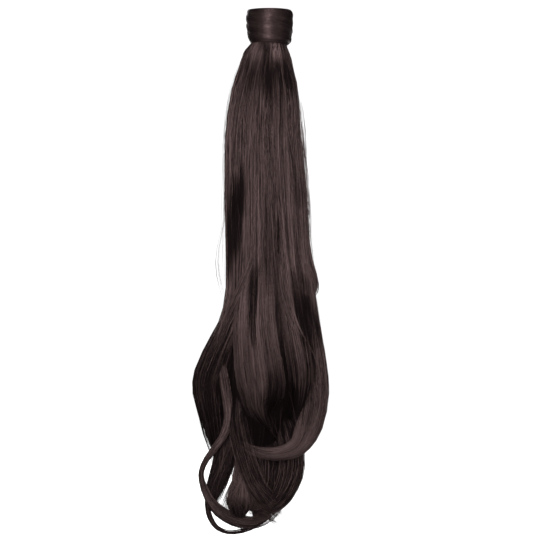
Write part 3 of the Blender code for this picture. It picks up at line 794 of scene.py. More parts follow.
def build_lay_tree(name):
    """The tree that lays clumps of strands round guide lines, one line for each lock."""
    nodes, given = new_tree(
        name,
        ("Strand Width", "Clump Relief", "Clump Wander", "Strand Wander", "Drift", "Gather", "Stand Off"),
        ("Wisp Size", "Seed"),
    )
    get, random, relief = nodes.attribute, nodes.random, given["Clump Relief"]
    guides = nodes.add("GeometryNodeMeshToCurve", given["Geometry"])
    copies, number = nodes.copies(guides, get("strand_count", "INT"))
    index = nodes.add("GeometryNodeInputIndex")

    clumps_apart, wisps_apart, first_wisp = 1000.0, 3000.0, 200000.0
    clump = nodes.math("FLOOR", number / get("clump_size"))
    clump_key = clump + get("lock_number") * clumps_apart
    wisp = nodes.math("FLOOR", number / given["Wisp Size"])
    wisp_key = wisp + get("lock_number") * wisps_apart + first_wisp
    clump_share = (clump + random(0.15, 0.85, clump_key, 0)) / get("clump_count")
    stray = random(0.0, 1.0, index, 14)
    clump_end = random(0.0, 0.6, clump_key, 7)
    held = nodes.store(
        copies,
        clump_angle=get("face_angle") + get("face_arc") * (clump_share - 0.5),
        strand_angle=get("face_arc") / get("clump_count")
        * (random(-0.75, 0.75, wisp_key, 1) + random(-0.14, 0.14, index, 13)),
        lift=1.0 + relief * random(-1.0, 0.35, clump_key, 2) + relief * random(-0.6, 0.3, wisp_key, 3)
        + given["Stand Off"] * stray * stray,
        tone=0.5 + random(-0.12, 0.12, clump_key, 4) + random(-0.28, 0.28, wisp_key, 5)
        + random(-0.24, 0.24, index, 15),
        clump_phase=random(0.0, LAST_PHASE, clump_key, 9),
        strand_phase=random(0.0, LAST_PHASE, index, 10),
        drift=given["Drift"] * get("mess") * random(-1.0, 1.0, wisp_key, 16),
        thickness=random(0.75, 1.25, index, 11) * get("fine"),
        starts=get("loose_start") * random(0.0, 1.0, index, 6),
        ends=1.0 - get("loose_end") * (clump_end + random(0.0, 0.4, index, 8)),
        stand_off=random(-0.8, 1.0, index, 12) * get("fray"),
    )
    trimmed = nodes.add("GeometryNodeTrimCurve", held, None, get("starts"), get("ends"), mode="FACTOR")

    along, share, mess = get("along"), get("share"), get("mess")
    gathered = 1.0 - given["Gather"] * nodes.ease(share, 0.55, 1.0, 0.0, 1.0)
    clump_cycles, strand_cycles = 7.0, 18.0
    clump_wander = nodes.wander(along, clump_cycles, get("clump_phase")) * given["Clump Wander"]
    strand_wander = nodes.wander(along * mess, strand_cycles, get("strand_phase")) * given["Strand Wander"]
    turned = get("clump_angle") + get("strand_angle") * gathered
    turned = turned + (clump_wander + strand_wander) * mess + get("drift") * (share - 0.5)
    near_tip = nodes.ease(share, 0.45, 1.0, 0.0, 1.0, interpolation_type="SMOOTHSTEP")
    lifted = get("lift") + get("stand_off") * near_tip
    offset = nodes.add(
        "ShaderNodeVectorMath",
        nodes.scaled(get("side", "FLOAT_VECTOR"), get("half_wide") * nodes.cosine(turned) * lifted),
        nodes.scaled(get("face", "FLOAT_VECTOR"), get("half_deep") * nodes.sine(turned) * lifted),
        operation="ADD",
    )
    laid = nodes.add("GeometryNodeSetPosition", trimmed, None, None, offset)
    # Each strand's tone takes its lock's painted shade and highlights
    laid = nodes.store(laid, "POINT", tone=get("tone") + get("lighter"))
    nodes.end_in_tubes(laid, given["Strand Width"], 0.03, 0.30, given["Material"])
    return nodes.tree


def build_wind_tree(name):
    """The tree that winds strands round the collar, each on its own slanting part of a turn."""
    nodes, given = new_tree(
        name,
        ("Strand Width", "Slant", "Height", "Tilt", "Foot Radius", "Foot Round", "Bulge", "Shoulder",
         "Relief", "Turns"),
        ("Strands", "Points", "Seed"),
    )
    get, random = nodes.attribute, nodes.random
    copies, number = nodes.lines(given["Points"], given["Strands"])
    clump_size, mean_radius, cycles, waver_share, highest, lowest = 20.0, 0.024, 22.0, 0.006, 0.012, 0.99
    clump = nodes.math("FLOOR", number / clump_size)
    middle_down = number / given["Strands"] + random(-0.012, 0.012, number, 0)
    slope_share = nodes.ease(middle_down, 0.62, 0.86, 1.0, 0.12)
    # Painted shade: the wound strands darken towards the foot, where the lower turns face down, away from the
    # light
    tone = nodes.ease(middle_down, 0.55, 0.80, 0.48, 0.15)
    held = nodes.store(
        copies,
        middle_down=middle_down,
        start_angle=random(0.0, 2 * pi, clump, 1) + random(-0.5, 0.5, number, 2),
        turn_length=random(0.35, 0.75, number, 3) * (2 * pi),
        slope=given["Slant"] * slope_share * random(0.75, 1.35, clump, 4),
        lift=random(0.0, 0.00055, clump, 5) + random(-0.0002, 0.0003, number, 6),
        tone=tone + random(-0.45, 0.45, clump, 7) + random(-0.2, 0.2, number, 8),
        strand_phase=random(0.0, LAST_PHASE, number, 9),
        thickness=random(0.75, 1.2, number, 10),
    )
    swept = get("turn_length") * (nodes.add("GeometryNodeSplineParameter") - 0.5)
    theta = get("start_angle") + swept
    along = swept * mean_radius
    waver = nodes.wander(along, cycles, get("strand_phase")) * waver_share
    down = get("middle_down") + get("slope") * swept / (2 * pi) + waver
    down = nodes.add("ShaderNodeClamp", down, highest, lowest)
    barrel = given["Bulge"] * nodes.sine(pi * BARREL_START + down * (pi * (1 - BARREL_START)))
    rise = nodes.math("MAXIMUM", 1.0 - down / SHOULDER_SHARE, 0.0)
    ridge = nodes.math("ABSOLUTE", nodes.sine(down * given["Turns"] * pi - theta / 2.0))
    near_foot = nodes.ease(down, COLLAR_FOOT_SHARE, 1.0, 0.0, 1.0)
    radius = (
        given["Foot Radius"] + barrel - given["Shoulder"] * rise * rise
        + given["Relief"] * (ridge - 0.5) + get("lift") - given["Foot Round"] * near_foot * near_foot
    )
    height = given["Height"] + given["Tilt"] / 2.0 * nodes.cosine(theta)
    place = nodes.round_axis(radius, theta, down * height * -1.0)
    wound = nodes.add("GeometryNodeSetPosition", held, None, place, None)
    wound = nodes.store(wound, "POINT", along=along)
    nodes.end_in_tubes(wound, given["Strand Width"], 0.10, 0.10, given["Material"])
    return nodes.tree


def build_rim_tree(name):
    """The tree that turns root ends over the rim of the sewn sleeve, in tufts."""
    nodes, given = new_tree(
        name, ("Hair Width", "Inner Radius", "Outer Radius", "Top", "Depth", "Tufts", "Tuft Relief"),
        ("Hairs", "Points", "Seed"),
    )
    get, random = nodes.attribute, nodes.random
    copies, number = nodes.lines(given["Points"], given["Hairs"])
    angle = (number + random(-0.6, 0.6, number, 0)) / given["Hairs"] * (2 * pi)
    between = 1.0 - nodes.math("ABSOLUTE", nodes.cosine(angle * given["Tufts"] / 2.0))
    held = nodes.store(
        copies,
        start_angle=angle,
        dip=given["Tuft Relief"] * between,
        lift=random(-0.00025, 0.0002, number, 1),
        lean=random(-0.05, 0.05, number, 2),
        # Painted shade: the hairs darken between the tufts, where they dip
        tone=0.42 + random(-0.3, 0.3, number, 3) - between * 0.2,
        reach=given["Depth"] * random(0.6, 1.0, number, 4),
        thickness=random(0.8, 1.25, number, 5),
    )
    factor = nodes.add("GeometryNodeSplineParameter")
    turn = factor * pi
    over = nodes.sine(turn)
    half = (given["Outer Radius"] - given["Inner Radius"]) / 2.0
    radius = (
        (given["Outer Radius"] + given["Inner Radius"]) / 2.0
        + (half + get("lift")) * nodes.cosine(turn) - get("dip") * (1.0 - factor)
    )
    drop = get("reach") * (1.0 - over) * (1.0 - over)
    z = given["Top"] + get("lift") * over - get("dip") - drop
    theta = get("start_angle") + get("lean") * (factor - 0.5)
    turned = nodes.add("GeometryNodeSetPosition", held, None, nodes.round_axis(radius, theta, z), None)
    turned = nodes.store(turned, "POINT", along=factor * 0.02)
    nodes.end_in_tubes(turned, given["Hair Width"], 0.06, 0.06, given["Material"])
    return nodes.tree


def build_weave_tree(name):
    """The tree that bends a grid into the closed band, with woven threads raised on its inside."""
    nodes, given = new_tree(
        name, ("Radius", "Wall", "Height", "Foot", "Warp Threads", "Weft Threads", "Thread Relief")
    )
    inside, top_edge, outside, weld = 0.80, 0.85, 0.95, 0.00001
    grid = nodes.add("GeometryNodeMeshGrid", 1.0, 1.0, given["Warp Threads"] * 2.0 + 1.0,
                     given["Weft Threads"] * (2.0 / inside) + 1.0)
    place = nodes.node("ShaderNodeSeparateXYZ", nodes.add("GeometryNodeInputPosition"))
    across = Field(nodes, place.outputs["X"]) + 0.5
    round_wall = Field(nodes, place.outputs["Y"]) + 0.5

    def rise(start, end):
        return nodes.ease(round_wall, start, end, 0.0, 1.0)

    warp = nodes.sine(across * given["Warp Threads"] * pi)
    weft = nodes.sine(rise(0.0, inside) * given["Weft Threads"] * pi)
    over_under = warp * weft * nodes.math("LESS_THAN", round_wall, inside)
    radius = (
        given["Radius"] + given["Wall"] * (rise(inside, top_edge) - rise(outside, 1.0))
        - given["Thread Relief"] * over_under
    )
    z = given["Foot"] + given["Height"] * (rise(0.0, inside) - rise(top_edge, outside))
    bent = nodes.round_axis(radius, across * (-2 * pi), z)
    bent = nodes.add("GeometryNodeSetPosition", grid, None, bent, None)
    # Painted highlights where the threads pass over and painted shade where they dip
    bent = nodes.store(bent, "POINT", tone=0.5 + over_under * 0.5, along=round_wall * given["Height"])
    nodes.end(nodes.add("GeometryNodeMergeByDistance", bent, None, weld), given["Material"])
    return nodes.tree


TREES = {
    "lay_strands": build_lay_tree, "wind_strands": build_wind_tree, "turn_over_rim": build_rim_tree,
    "weave_band": build_weave_tree,
}


# Strands and materials


def guide_lines(locks):
    """A mesh of one line of edges for each lock, carrying what the strand tree reads."""
    kinds = {"side": "FLOAT_VECTOR", "face": "FLOAT_VECTOR", "strand_count": "INT"}
    places, edges, columns = [], [], {}
    for number, lock in enumerate(locks):
        path, cover = lock_path(lock, GUIDE_STEP, radians(GUIDE_TURN)), lock.cover
        first = len(places)
        size = len(path.centre)
        places.extend(path.centre.tolist())
        edges.extend((first + i, first + i + 1) for i in range(size - 1))
        for name, values in {
            "half_wide": path.half_wide, "half_deep": path.half_deep, "along": path.along,
            "share": path.along / path.along[-1], "lighter": shade_at(lock, path.centre[:, 2]),
            "side": path.side, "face": path.face, "lock_number": number, "face_angle": radians(cover.face),
            "face_arc": radians(cover.arc), "clump_count": cover.clumps, "clump_size": cover.strands,
            "loose_start": cover.loose_start, "loose_end": cover.loose_end, "fray": cover.fray,
            "fine": cover.fine, "mess": cover.mess, "strand_count": cover.clumps * cover.strands,
        }.items():
            shape = (size, *np.shape(values)[1:])
            columns.setdefault(name, []).append(np.broadcast_to(values, shape))
    mesh = bpy.data.meshes.new("guide_lines")
    mesh.from_pydata(places, edges, [])
    for name, parts in columns.items():
        hold(mesh, name, np.concatenate(parts), kinds.get(name, "FLOAT"))
    return mesh


def grow(name, tree_name, values, material, base=None):
    """Run a tree on a base mesh, or on nothing, and return the result as a plain mesh object."""
    tree = bpy.data.node_groups.get(tree_name) or TREES[tree_name](tree_name)
    piece = add_object(name, base or bpy.data.meshes.new("nothing"))
    modifier = piece.modifiers.new("grow", "NODES")
    modifier.node_group = tree
    identifiers = {
        item.name: item.identifier for item in tree.interface.items_tree if item.in_out == "INPUT"
    }
    for label, value in {**values, "Material": material}.items():
        modifier[identifiers[label]] = value
    piece.update_tag()
    graph = bpy.context.evaluated_depsgraph_get()
    mesh = bpy.data.meshes.new_from_object(piece.evaluated_get(graph))
    piece.modifiers.clear()
    for extra in [a.name for a in mesh.attributes if not a.is_internal and not a.is_required]:
        if extra not in KEPT_ATTRIBUTES:
            mesh.attributes.remove(mesh.attributes[extra])
    mesh.materials.clear()
    mesh.materials.append(material)
    piece.data = mesh
    mesh.name = name
    if not mesh.polygons:
        raise RuntimeError(f"{name} came out with no faces")
    return piece


def press_mesh(mesh):
    """Press the clefts into a finished mesh of the tail's strands."""
    places = np.empty(3 * len(mesh.vertices), np.float32)
    tones = np.empty(len(mesh.vertices), np.float32)
    mesh.vertices.foreach_get("co", places)
    mesh.attributes["tone"].data.foreach_get("value", tones)
    points, tones = press_clefts(places.reshape(-1, 3), tones)
    mesh.vertices.foreach_set("co", points.astype(np.float32).ravel())
    mesh.attributes["tone"].data.foreach_set("value", tones.astype(np.float32))
    mesh.update()


def new_material(name):
    """A new material, with its shader and a helper for its nodes."""
    material = bpy.data.materials.new(name)
    material.use_nodes = True
    return material, material.node_tree.nodes["Principled BSDF"], Nodes(material.node_tree)


def mesh_attribute(nodes, name, output="Fac"):
    return nodes.output(output, "ShaderNodeAttribute", attribute_name=name)


def ramp(nodes, value, *stops):
    """A colour that follows a value. Each stop is a place, a colour and a factor, the outer two first."""
    node = nodes.node("ShaderNodeValToRGB", value)
    elements = node.color_ramp.elements
    for number, (position, colour, factor) in enumerate(stops):
        element = elements[number] if number < 2 else elements.new(position)
        element.position = position
        element.color = (*(part * factor for part in colour), 1.0)
    return Field(nodes, node.outputs["Color"])


def link_surface(nodes, shader, colour, roughness, height=None, strength=0.0, distance=0.0):
    """Link a shader's colour and roughness, and its bump if it has a height."""
    link = nodes.tree.links.new
    link(colour.socket, shader.inputs["Base Color"])
    link(roughness.socket, shader.inputs["Roughness"])
    if height:
        bump = nodes.node("ShaderNodeBump", strength, distance)
        link(height.socket, bump.inputs["Height"])
        link(bump.outputs["Normal"], shader.inputs["Normal"])


def hair_colour(nodes, tone, hair, darkness):
    """The hair's colour for a tone from 0 to 1."""
    return ramp(nodes, tone, (0.10, hair.dark, darkness), (0.92, hair.light, darkness),
                (0.5, hair.colour, darkness))


def hair_material(name, hair, darkness=1.0, shine=None, bend=1.5):
    """Hair: each strand has its own tone, which changes slowly along it.

    For hair pulled tight, darkness multiplies the colours, shine is the strength of its gloss, and bend
    is the refraction that adds to it.
    """
    if name in bpy.data.materials:
        return bpy.data.materials[name]
    material, shader, nodes = new_material(name)
    changes_per_metre, tones_apart, change_share = 85.0, 91.0, 0.8
    tone = mesh_attribute(nodes, "tone")
    place = mesh_attribute(nodes, "along") * changes_per_metre + tone * tones_apart
    change = nodes.add("ShaderNodeTexNoise", place, 1.0, 2.0, 0.6, noise_dimensions="1D")
    mixed = tone + (change - 0.5) * change_share
    link_surface(nodes, shader, hair_colour(nodes, mixed, hair, darkness),
                 nodes.ease(mixed, 0.1, 0.9, hair.gloss_rough, hair.gloss_fine))
    shader.inputs["IOR"].default_value = bend
    shader.inputs["Specular IOR Level"].default_value = shine or hair.shine
    shader.inputs["Specular Tint"].default_value = (*hair.shine_colour, 1.0)
    return material


def packed_material(name, hair, darkness=1.0):
    """Packed hair: fine streaks that run along it, in colour, gloss and relief."""
    material, shader, nodes = new_material(name)
    lay = mesh_attribute(nodes, "lay", "Vector")
    fine = nodes.add("ShaderNodeTexNoise", lay, 1500.0, 2.0, 0.6)
    broad = nodes.add("ShaderNodeTexNoise", lay, 420.0, 2.0, 0.5)
    mixed = mesh_attribute(nodes, "tone") + (fine - 0.5) * 1.3 + (broad - 0.5) * 0.5
    link_surface(nodes, shader, hair_colour(nodes, mixed, hair, darkness),
                 nodes.ease(fine, 0.3, 0.7, hair.gloss_fine, hair.gloss_rough),
                 fine * 0.6 + broad * 0.4, 0.7, 0.0003)
    shader.inputs["Specular IOR Level"].default_value = hair.shine
    shader.inputs["Specular Tint"].default_value = (*hair.shine_colour, 1.0)
    return material


def woven_material(name, colour):
    """Woven tape: matt uneven yarn, with painted highlights where threads pass over and painted shade
    between.
    """
    material, shader, nodes = new_material(name)
    place = nodes.output("Object", "ShaderNodeTexCoord")
    yarn = nodes.add("ShaderNodeTexNoise", place, 3200.0, 3.0, 0.6)
    over = mesh_attribute(nodes, "tone") * 0.6 + yarn * 0.4
    link_surface(nodes, shader, ramp(nodes, over, (0.25, colour, 0.5), (0.75, colour, 1.9)),
                 nodes.ease(yarn, 0.2, 0.8, 0.75, 0.95), yarn, 0.5, 0.0002)
    shader.inputs["Sheen Weight"].default_value = 0.03
    shader.inputs["Specular IOR Level"].default_value = 0.2
    return material


def moulded_material(name, colour):
    """Moulded plastic: a low gloss with faint flow marks."""
    material, shader, nodes = new_material(name)
    place = nodes.output("Object", "ShaderNodeTexCoord")
    fine = nodes.add("ShaderNodeTexNoise", place, 2400.0, 2.0, 0.5)
    flow = nodes.add("ShaderNodeTexNoise", place, 260.0, 2.0, 0.5)
    link_surface(nodes, shader, ramp(nodes, flow, (0.3, colour, 0.8), (0.7, colour, 1.3)),
                 nodes.ease(fine, 0.3, 0.7, 0.26, 0.40), flow, 0.2, 0.0001)
    return material


# Settings


def colour_setting(name, description, default):
    return FloatVectorProperty(name=name, description=description, default=default, subtype="COLOR",
                               size=3, min=0, max=1)


def number_setting(name, description, default, **limits):
    """A number that is at least 0, unless its limits say otherwise."""
    return FloatProperty(name=name, description=description, default=default, **{"min": 0, **limits})


def share_setting(name, description, default):
    return number_setting(name, description, default, max=1, subtype="FACTOR")


def length_setting(name, description, default, smallest=0.0):
    return number_setting(name, description, default, min=smallest, unit="LENGTH", precision=5)


def turn_setting(name, description, default):
    return number_setting(name, description, default, unit="ROTATION")


def power_setting(name, description, default):
    return number_setting(name, description, default, unit="POWER")


def count_setting(name, description, default, smallest):
    return IntProperty(name=name, description=description, default=default, min=smallest)


class HairSettings(bpy.types.PropertyGroup):
    """The hair's colours and how its strands lie."""

    colour: colour_setting("Colour", "Usual colour of the hair", (0.0765, 0.0500, 0.0485))
    dark: colour_setting("Dark", "Colour of the darkest strands", (0.0062, 0.0040, 0.0042))
    light: colour_setting("Light", "Colour of the lightest strands", (0.2050, 0.1400, 0.1350))
    gloss_fine: share_setting("Finest Roughness", "Roughness where strands shine most", 0.28)
    gloss_rough: share_setting("Most Roughness", "Roughness where strands shine least", 0.60)
    shine: share_setting("Shine", "Strength of the strands' gloss", 0.12)
    shine_colour: colour_setting("Shine Colour", "Colour of the strands' gloss", (1.0, 0.66, 0.66))
    strand_width: length_setting("Strand Width", "Thickness of a usual strand", 0.00032, 0.00005)
    flyaway_width: length_setting("Flyaway Width", "Thickness of a loose single hair", 0.00024, 0.00005)
    clump_relief: number_setting(
        "Clump Relief", "How far clumps lie over and under each other, as a share of the lock's half size",
        0.036, max=0.3,
    )
    clump_wander: turn_setting("Clump Wander", "How far a clump strays round its lock", 0.10)
    strand_wander: turn_setting("Strand Wander", "How far a strand strays in its clump", 0.045)
    drift: turn_setting("Drift", "How far strands drift round their lock from end to end", 0.38)
    wisp_size: count_setting("Wisp Size", "Strands in a wisp, which share a tone", 3, 1)
    gather: share_setting("Gather", "How far clumps draw together towards their tips", 0.35)
    stand_off: number_setting(
        "Stand Off", "How far flyaways stand off the tail, as a share of its half size", 0.10)
    body_share: share_setting(
        "Body Share", "Size of the packed hair under the strands, as a share of the lock", 0.93)
    body_relief: number_setting("Body Relief", "Depth of the ridges in the packed hair", 0.028, max=0.2)


class CollarSettings(bpy.types.PropertyGroup):
    """The wound hair and what it goes round."""

    height: length_setting("Height", "Mean height of the wound hair", COLLAR_HEIGHT, 0.01)
    foot_radius: length_setting(
        "Foot Radius", "Radius of the wound hair at its foot", COLLAR_FOOT_RADIUS, 0.01)
    slant: number_setting("Slant", "Share of the height that a strand comes down in one turn", 0.85, max=2)
    strands: count_setting("Strands", "Number of wound strands", 640, 50)
    strand_points: count_setting("Points", "Points along a wound strand", 20, 8)
    root_hairs: count_setting("Root Hairs", "Number of root ends that turn over the rim", 640, 50)


class BandSettings(bpy.types.PropertyGroup):
    """The woven band and the comb."""

    warp_count: count_setting("Warp Threads", "Upright threads round the band", 96, 20)
    weft_count: count_setting("Weft Threads", "Threads across the band's height, a multiple of 4", 24, 8)
    thread_relief: length_setting("Thread Relief", "Height of the weave", 0.00012)
    band_colour: colour_setting("Band Colour", "Colour of the woven band", (0.020, 0.015, 0.014))
    comb_colour: colour_setting("Comb Colour", "Colour of the moulded comb", (0.010, 0.008, 0.008))


class StudioSettings(bpy.types.PropertyGroup):
    """The camera, lights and floor."""

    camera_distance: length_setting("Camera Distance", "From the camera to the hairpiece", 2.5, 0.5)
    view_height: length_setting("View Height", "Height of what the camera sees at the hairpiece", 0.577, 0.1)
    key_power: power_setting("Key Light", "Power of the front light", 53.0)
    fill_power: power_setting("Fill Light", "Power of the right light", 5.0)
    top_power: power_setting("Top Light", "Power of the light above", 10.0)
    back_power: power_setting("Back Lights", "Power of each of the two lights behind", 15.0)
    world_strength: number_setting("Surrounding Light", "Strength of the light from all round", 0.026)
    floor_drop: length_setting("Floor Drop", "From the lowest tip to the floor", 0.10)


def settings():
    """The four groups of settings: hair, collar, band and studio."""
    scene = bpy.context.scene
    return scene.ponytail_hair, scene.ponytail_collar, scene.ponytail_band, scene.ponytail_studio


# The pieces


def ridged(angle, along, number):
    """Ridges round a lock's packed hair, from -1 to 1, that drift as they run along it."""
    drift = 0.5 * np.sin(9.0 * along + number) + 0.25 * np.sin(23.0 * along + 2 * number)
    fine = np.sin(19 * angle + 3 * drift + number) * np.sin(7 * angle - 2 * drift + 2 * number)
    return 0.6 * fine + 0.4 * np.sin(11 * angle + 4 * drift - number)


class PONYTAIL_OT_locks(bpy.types.Operator):
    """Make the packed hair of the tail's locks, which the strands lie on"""

    bl_idname = "ponytail.locks"
    bl_label = "Packed Locks"

    def execute(self, context):
        hair = settings()[0]
        shell = Shell()
        for number, lock in enumerate(LOCKS):
            if lock.packed:
                self.add_lock(shell, lock, number, hair)
        self.add_neck(shell)
        points, tones = press_clefts(shell.points, shell.tones)
        shell.points, shell.tones = points.tolist(), tones.tolist()
        piece = shell.build("packed_locks", packed_material("hanging_hair_packed", hair))
        finish(piece, "tail")
        return {"FINISHED"}

    def add_lock(self, shell, lock, number, hair):
        """One lock as a closed tube of ridged sections, ending in a point."""
        path = lock_path(lock, BODY_STEP, radians(BODY_TURN))
        share = path.along / path.along[-1]
        kept = int(np.searchsorted(share, lock.packed)) + 1
        taper, thinning, bend = 0.18, 0.60, 1.6
        thinned = 1 - thinning * np.clip((share - lock.packed + taper) / taper, 0, 1) ** bend
        path = Path(*(column[:kept] for column in path))
        sides = BODY_SIDES if path.half_wide.max() > THIN_LOCK else THIN_SIDES
        angles = circle(sides)
        breadth = (path.half_wide.max() + path.half_deep.max()) / 2
        rings = []
        for (centre, side, face, half_wide, half_deep, along), thin in zip(zip(*path), thinned):
            ridge = ridged(angles, along, number)
            size = hair.body_share * thin * (1 + hair.body_relief * ridge)
            ring = (
                centre + np.outer(half_wide * size * np.cos(angles), side)
                + np.outer(half_deep * size * np.sin(angles), face)
            )
            # Painted shade: lighter on the ridges and darker in the grooves between them
            tones = 0.30 + 0.16 * ridge + shade_at(lock, centre[2])
            lays = round_axis(breadth, angles, along * LAY_STRETCH + 0.1 * number)
            rings.append(shell.add_points(ring, tones, along, lays))
        shell.bridge(rings, sides)
        shell.faces.append(tuple(rings[0] + side for side in reversed(range(sides))))
        run = path.centre[-1] - path.centre[-2]
        tip = path.centre[-1] + run / np.linalg.norm(run) * path.half_wide[-1] * thinned[kept - 1]
        end = shell.add_points([tip], 0.3, path.along[-1], (0.0, 0.0, path.along[-1] * LAY_STRETCH))
        for side in range(sides):
            shell.faces.append((rings[-1] + side, rings[-1] + (side + 1) % sides, end))

    def add_neck(self, shell):
        """The gathered hair inside the collar, and the rounded mass just below it."""
        sides, tuft_count, tuft_relief = 96, 24, 0.02
        flared = COLLAR_FOOT_RADIUS + 0.0010
        foot = -COLLAR_HEIGHT
        angles = circle(sides)
        tufts = np.sin(tuft_count * angles)
        rings = []
        for radius, z in (
            (ROOTS_RADIUS - 0.0008, TAIL_HIGH.z), (ROOTS_RADIUS, TAIL_HIGH.z - 0.0008),
            (ROOTS_RADIUS, foot - 0.0017), (0.88 * flared, foot - 0.006), (0.84 * flared, foot - 0.014),
            (0.72 * flared, foot - 0.026), (0.50 * flared, foot - 0.045),
        ):
            points = round_axis(radius * (1 + tuft_relief * (np.abs(tufts) - 1)), angles, z)
            rings.append(shell.add_points(points, 0.3 + 0.2 * tufts, -z, points * (1.0, 1.0, LAY_STRETCH)))
        shell.bridge(rings, sides)
        shell.faces.append(tuple(rings[0] + side for side in reversed(range(sides))))
        shell.faces.append(tuple(rings[-1] + side for side in range(sides)))


class PONYTAIL_OT_strands(bpy.types.Operator):
    """Lay strands over the tail's locks"""

    bl_idname = "ponytail.strands"
    bl_label = "Tail Strands"

    def execute(self, context):
        hair = settings()[0]
        material = hair_material("hanging_hair_dressed", hair)
        by_name = {lock.name: lock for lock in LOCKS}
        for seed, (name, members) in enumerate(STRAND_PIECES.items()):
            piece = grow(name, "lay_strands", {
                "Strand Width": hair.strand_width, "Clump Relief": hair.clump_relief,
                "Clump Wander": hair.clump_wander, "Strand Wander": hair.strand_wander, "Drift": hair.drift,
                "Gather": hair.gather, "Stand Off": 0.0, "Wisp Size": hair.wisp_size, "Seed": 100 * seed + 7,
            }, material, guide_lines([by_name[member] for member in members]))
            press_mesh(piece.data)
            finish(piece, "tail")
        return {"FINISHED"}


class PONYTAIL_OT_flyaways(bpy.types.Operator):
    """Scatter single hairs that stand off the tail"""

    bl_idname = "ponytail.flyaways"
    bl_label = "Flyaways"

    def execute(self, context):
        hair = settings()[0]
        piece = grow("flyaway_hairs", "lay_strands", {
            "Strand Width": hair.flyaway_width, "Clump Relief": 0.01, "Clump Wander": 0.15,
            "Strand Wander": 0.10, "Drift": 0.7, "Gather": 0.0, "Stand Off": hair.stand_off,
            "Wisp Size": 1, "Seed": 901,
        }, hair_material("hanging_hair_dressed", hair), guide_lines(FLYAWAYS))
        finish(piece, "tail")
        return {"FINISHED"}


class PONYTAIL_OT_collar(bpy.types.Operator):
    """Wind the hair round the roots"""

    bl_idname = "ponytail.collar"
    bl_label = "Wound Collar"

    def execute(self, context):
        hair, collar, _, _ = settings()
        material = hair_material("wound_hair_dressed", hair, darkness=0.24, shine=0.88, bend=1.6)
        finish(self.packed(material, collar), "wrap")
        strands = grow("wound_strands", "wind_strands", {
            "Strand Width": hair.strand_width, "Slant": collar.slant, "Height": collar.height,
            "Tilt": FOOT_TILT, "Foot Radius": collar.foot_radius, "Foot Round": COLLAR_FOOT_ROUND,
            "Bulge": COLLAR_BULGE, "Shoulder": COLLAR_SHOULDER, "Relief": COLLAR_TURN_RELIEF,
            "Turns": float(COLLAR_TURNS), "Strands": collar.strands, "Points": collar.strand_points,
            "Seed": 11,
        }, material)
        finish(strands, "wrap")
        return {"FINISHED"}

    def packed(self, material, collar):
        """The hollow barrel of packed hair under the wound strands."""
        sides, steps, ridges, slant, relief = 192, 56, 46, 5.0, 0.00012
        shell = Shell()
        angles = circle(sides)
        foot = -collar.height - FOOT_TILT / 2 * np.cos(angles)

        def ring(radius, z, tones, along=0.0):
            return shell.add_points(round_axis(radius, angles, z), tones, along)

        rings = [ring(collar_radius(0.0, angles) - COLLAR_RIM_ROUND - COLLAR_SINK / 2, 0.0, 0.35)]
        for step in range(1, steps):
            down = step / steps
            comb = np.sin(2 * pi * np.round(ridges * down - slant * angles / pi, 6))
            radius = collar_radius(down, angles) - COLLAR_SINK + relief * comb
            # Painted shade: lighter on the ridges of the turns and darker in the grooves
            rings.append(ring(radius, down * foot, 0.34 + 0.2 * comb, down * 0.3 + angles * 0.02))
        rings.append(ring(collar_radius(1.0, angles) - COLLAR_RIM_ROUND - COLLAR_SINK, foot, 0.3))
        rings.append(ring(COLLAR_INNER, foot + COLLAR_RIM_ROUND, 0.25))
        rings.append(ring(COLLAR_INNER, foot / 2, 0.25))
        rings.append(ring(COLLAR_INNER, -COLLAR_RIM_ROUND, 0.3))
        shell.bridge([*rings, rings[0]], sides)
        return shell.build("packed_collar", material)


class PONYTAIL_OT_roots(bpy.types.Operator):
    """Make the sewn sleeve of root ends and the hairs that turn over its rim"""

    bl_idname = "ponytail.roots"
    bl_label = "Root Sleeve"

    def execute(self, context):
        hair, collar, _, _ = settings()
        finish(self.sleeve(packed_material("root_hair_packed", hair, 0.45)), "weft_roots")
        strands = grow("rim_hairs", "turn_over_rim", {
            "Hair Width": hair.strand_width, "Inner Radius": ROOTS_INNER + ROOTS_SINK,
            "Outer Radius": ROOTS_RADIUS, "Top": ROOTS_HIGH.z, "Depth": 0.007, "Tufts": float(ROOTS_TUFTS),
            "Tuft Relief": ROOTS_TUFT_RELIEF, "Hairs": collar.root_hairs, "Points": 9, "Seed": 5,
        }, hair_material("root_hair_dressed", hair, darkness=0.5))
        finish(strands, "weft_roots")
        return {"FINISHED"}

    def sleeve(self, material):
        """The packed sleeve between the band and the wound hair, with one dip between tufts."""
        sides = 8 * ROOTS_TUFTS
        angles = circle(sides)
        dip = ROOTS_TUFT_RELIEF * (1 - np.abs(np.cos(ROOTS_TUFTS * angles / 2))) + ROOTS_SINK
        wall = ROOTS_RADIUS - ROOTS_INNER
        top = ROOTS_HIGH.z - dip
        shell = Shell()
        rings = []
        for radius, z in (
            (ROOTS_INNER, ROOTS_LOW.z), (ROOTS_INNER, top - wall / 3),
            (ROOTS_INNER + 0.2 * wall, top - 0.1 * wall), (ROOTS_INNER + 0.5 * wall, top),
            (ROOTS_RADIUS - 0.2 * wall - dip, top - 0.1 * wall), (ROOTS_RADIUS - dip, top - wall / 3),
            (ROOTS_RADIUS - dip, ROOTS_LOW.z),
        ):
            points = round_axis(radius, angles, z)
            rings.append(shell.add_points(points, 0.35, -points[:, 2], points * (1.0, 1.0, LAY_STRETCH)))
        shell.bridge([*rings, rings[0]], sides, inside_out=True)
        return shell.build("packed_roots", material)


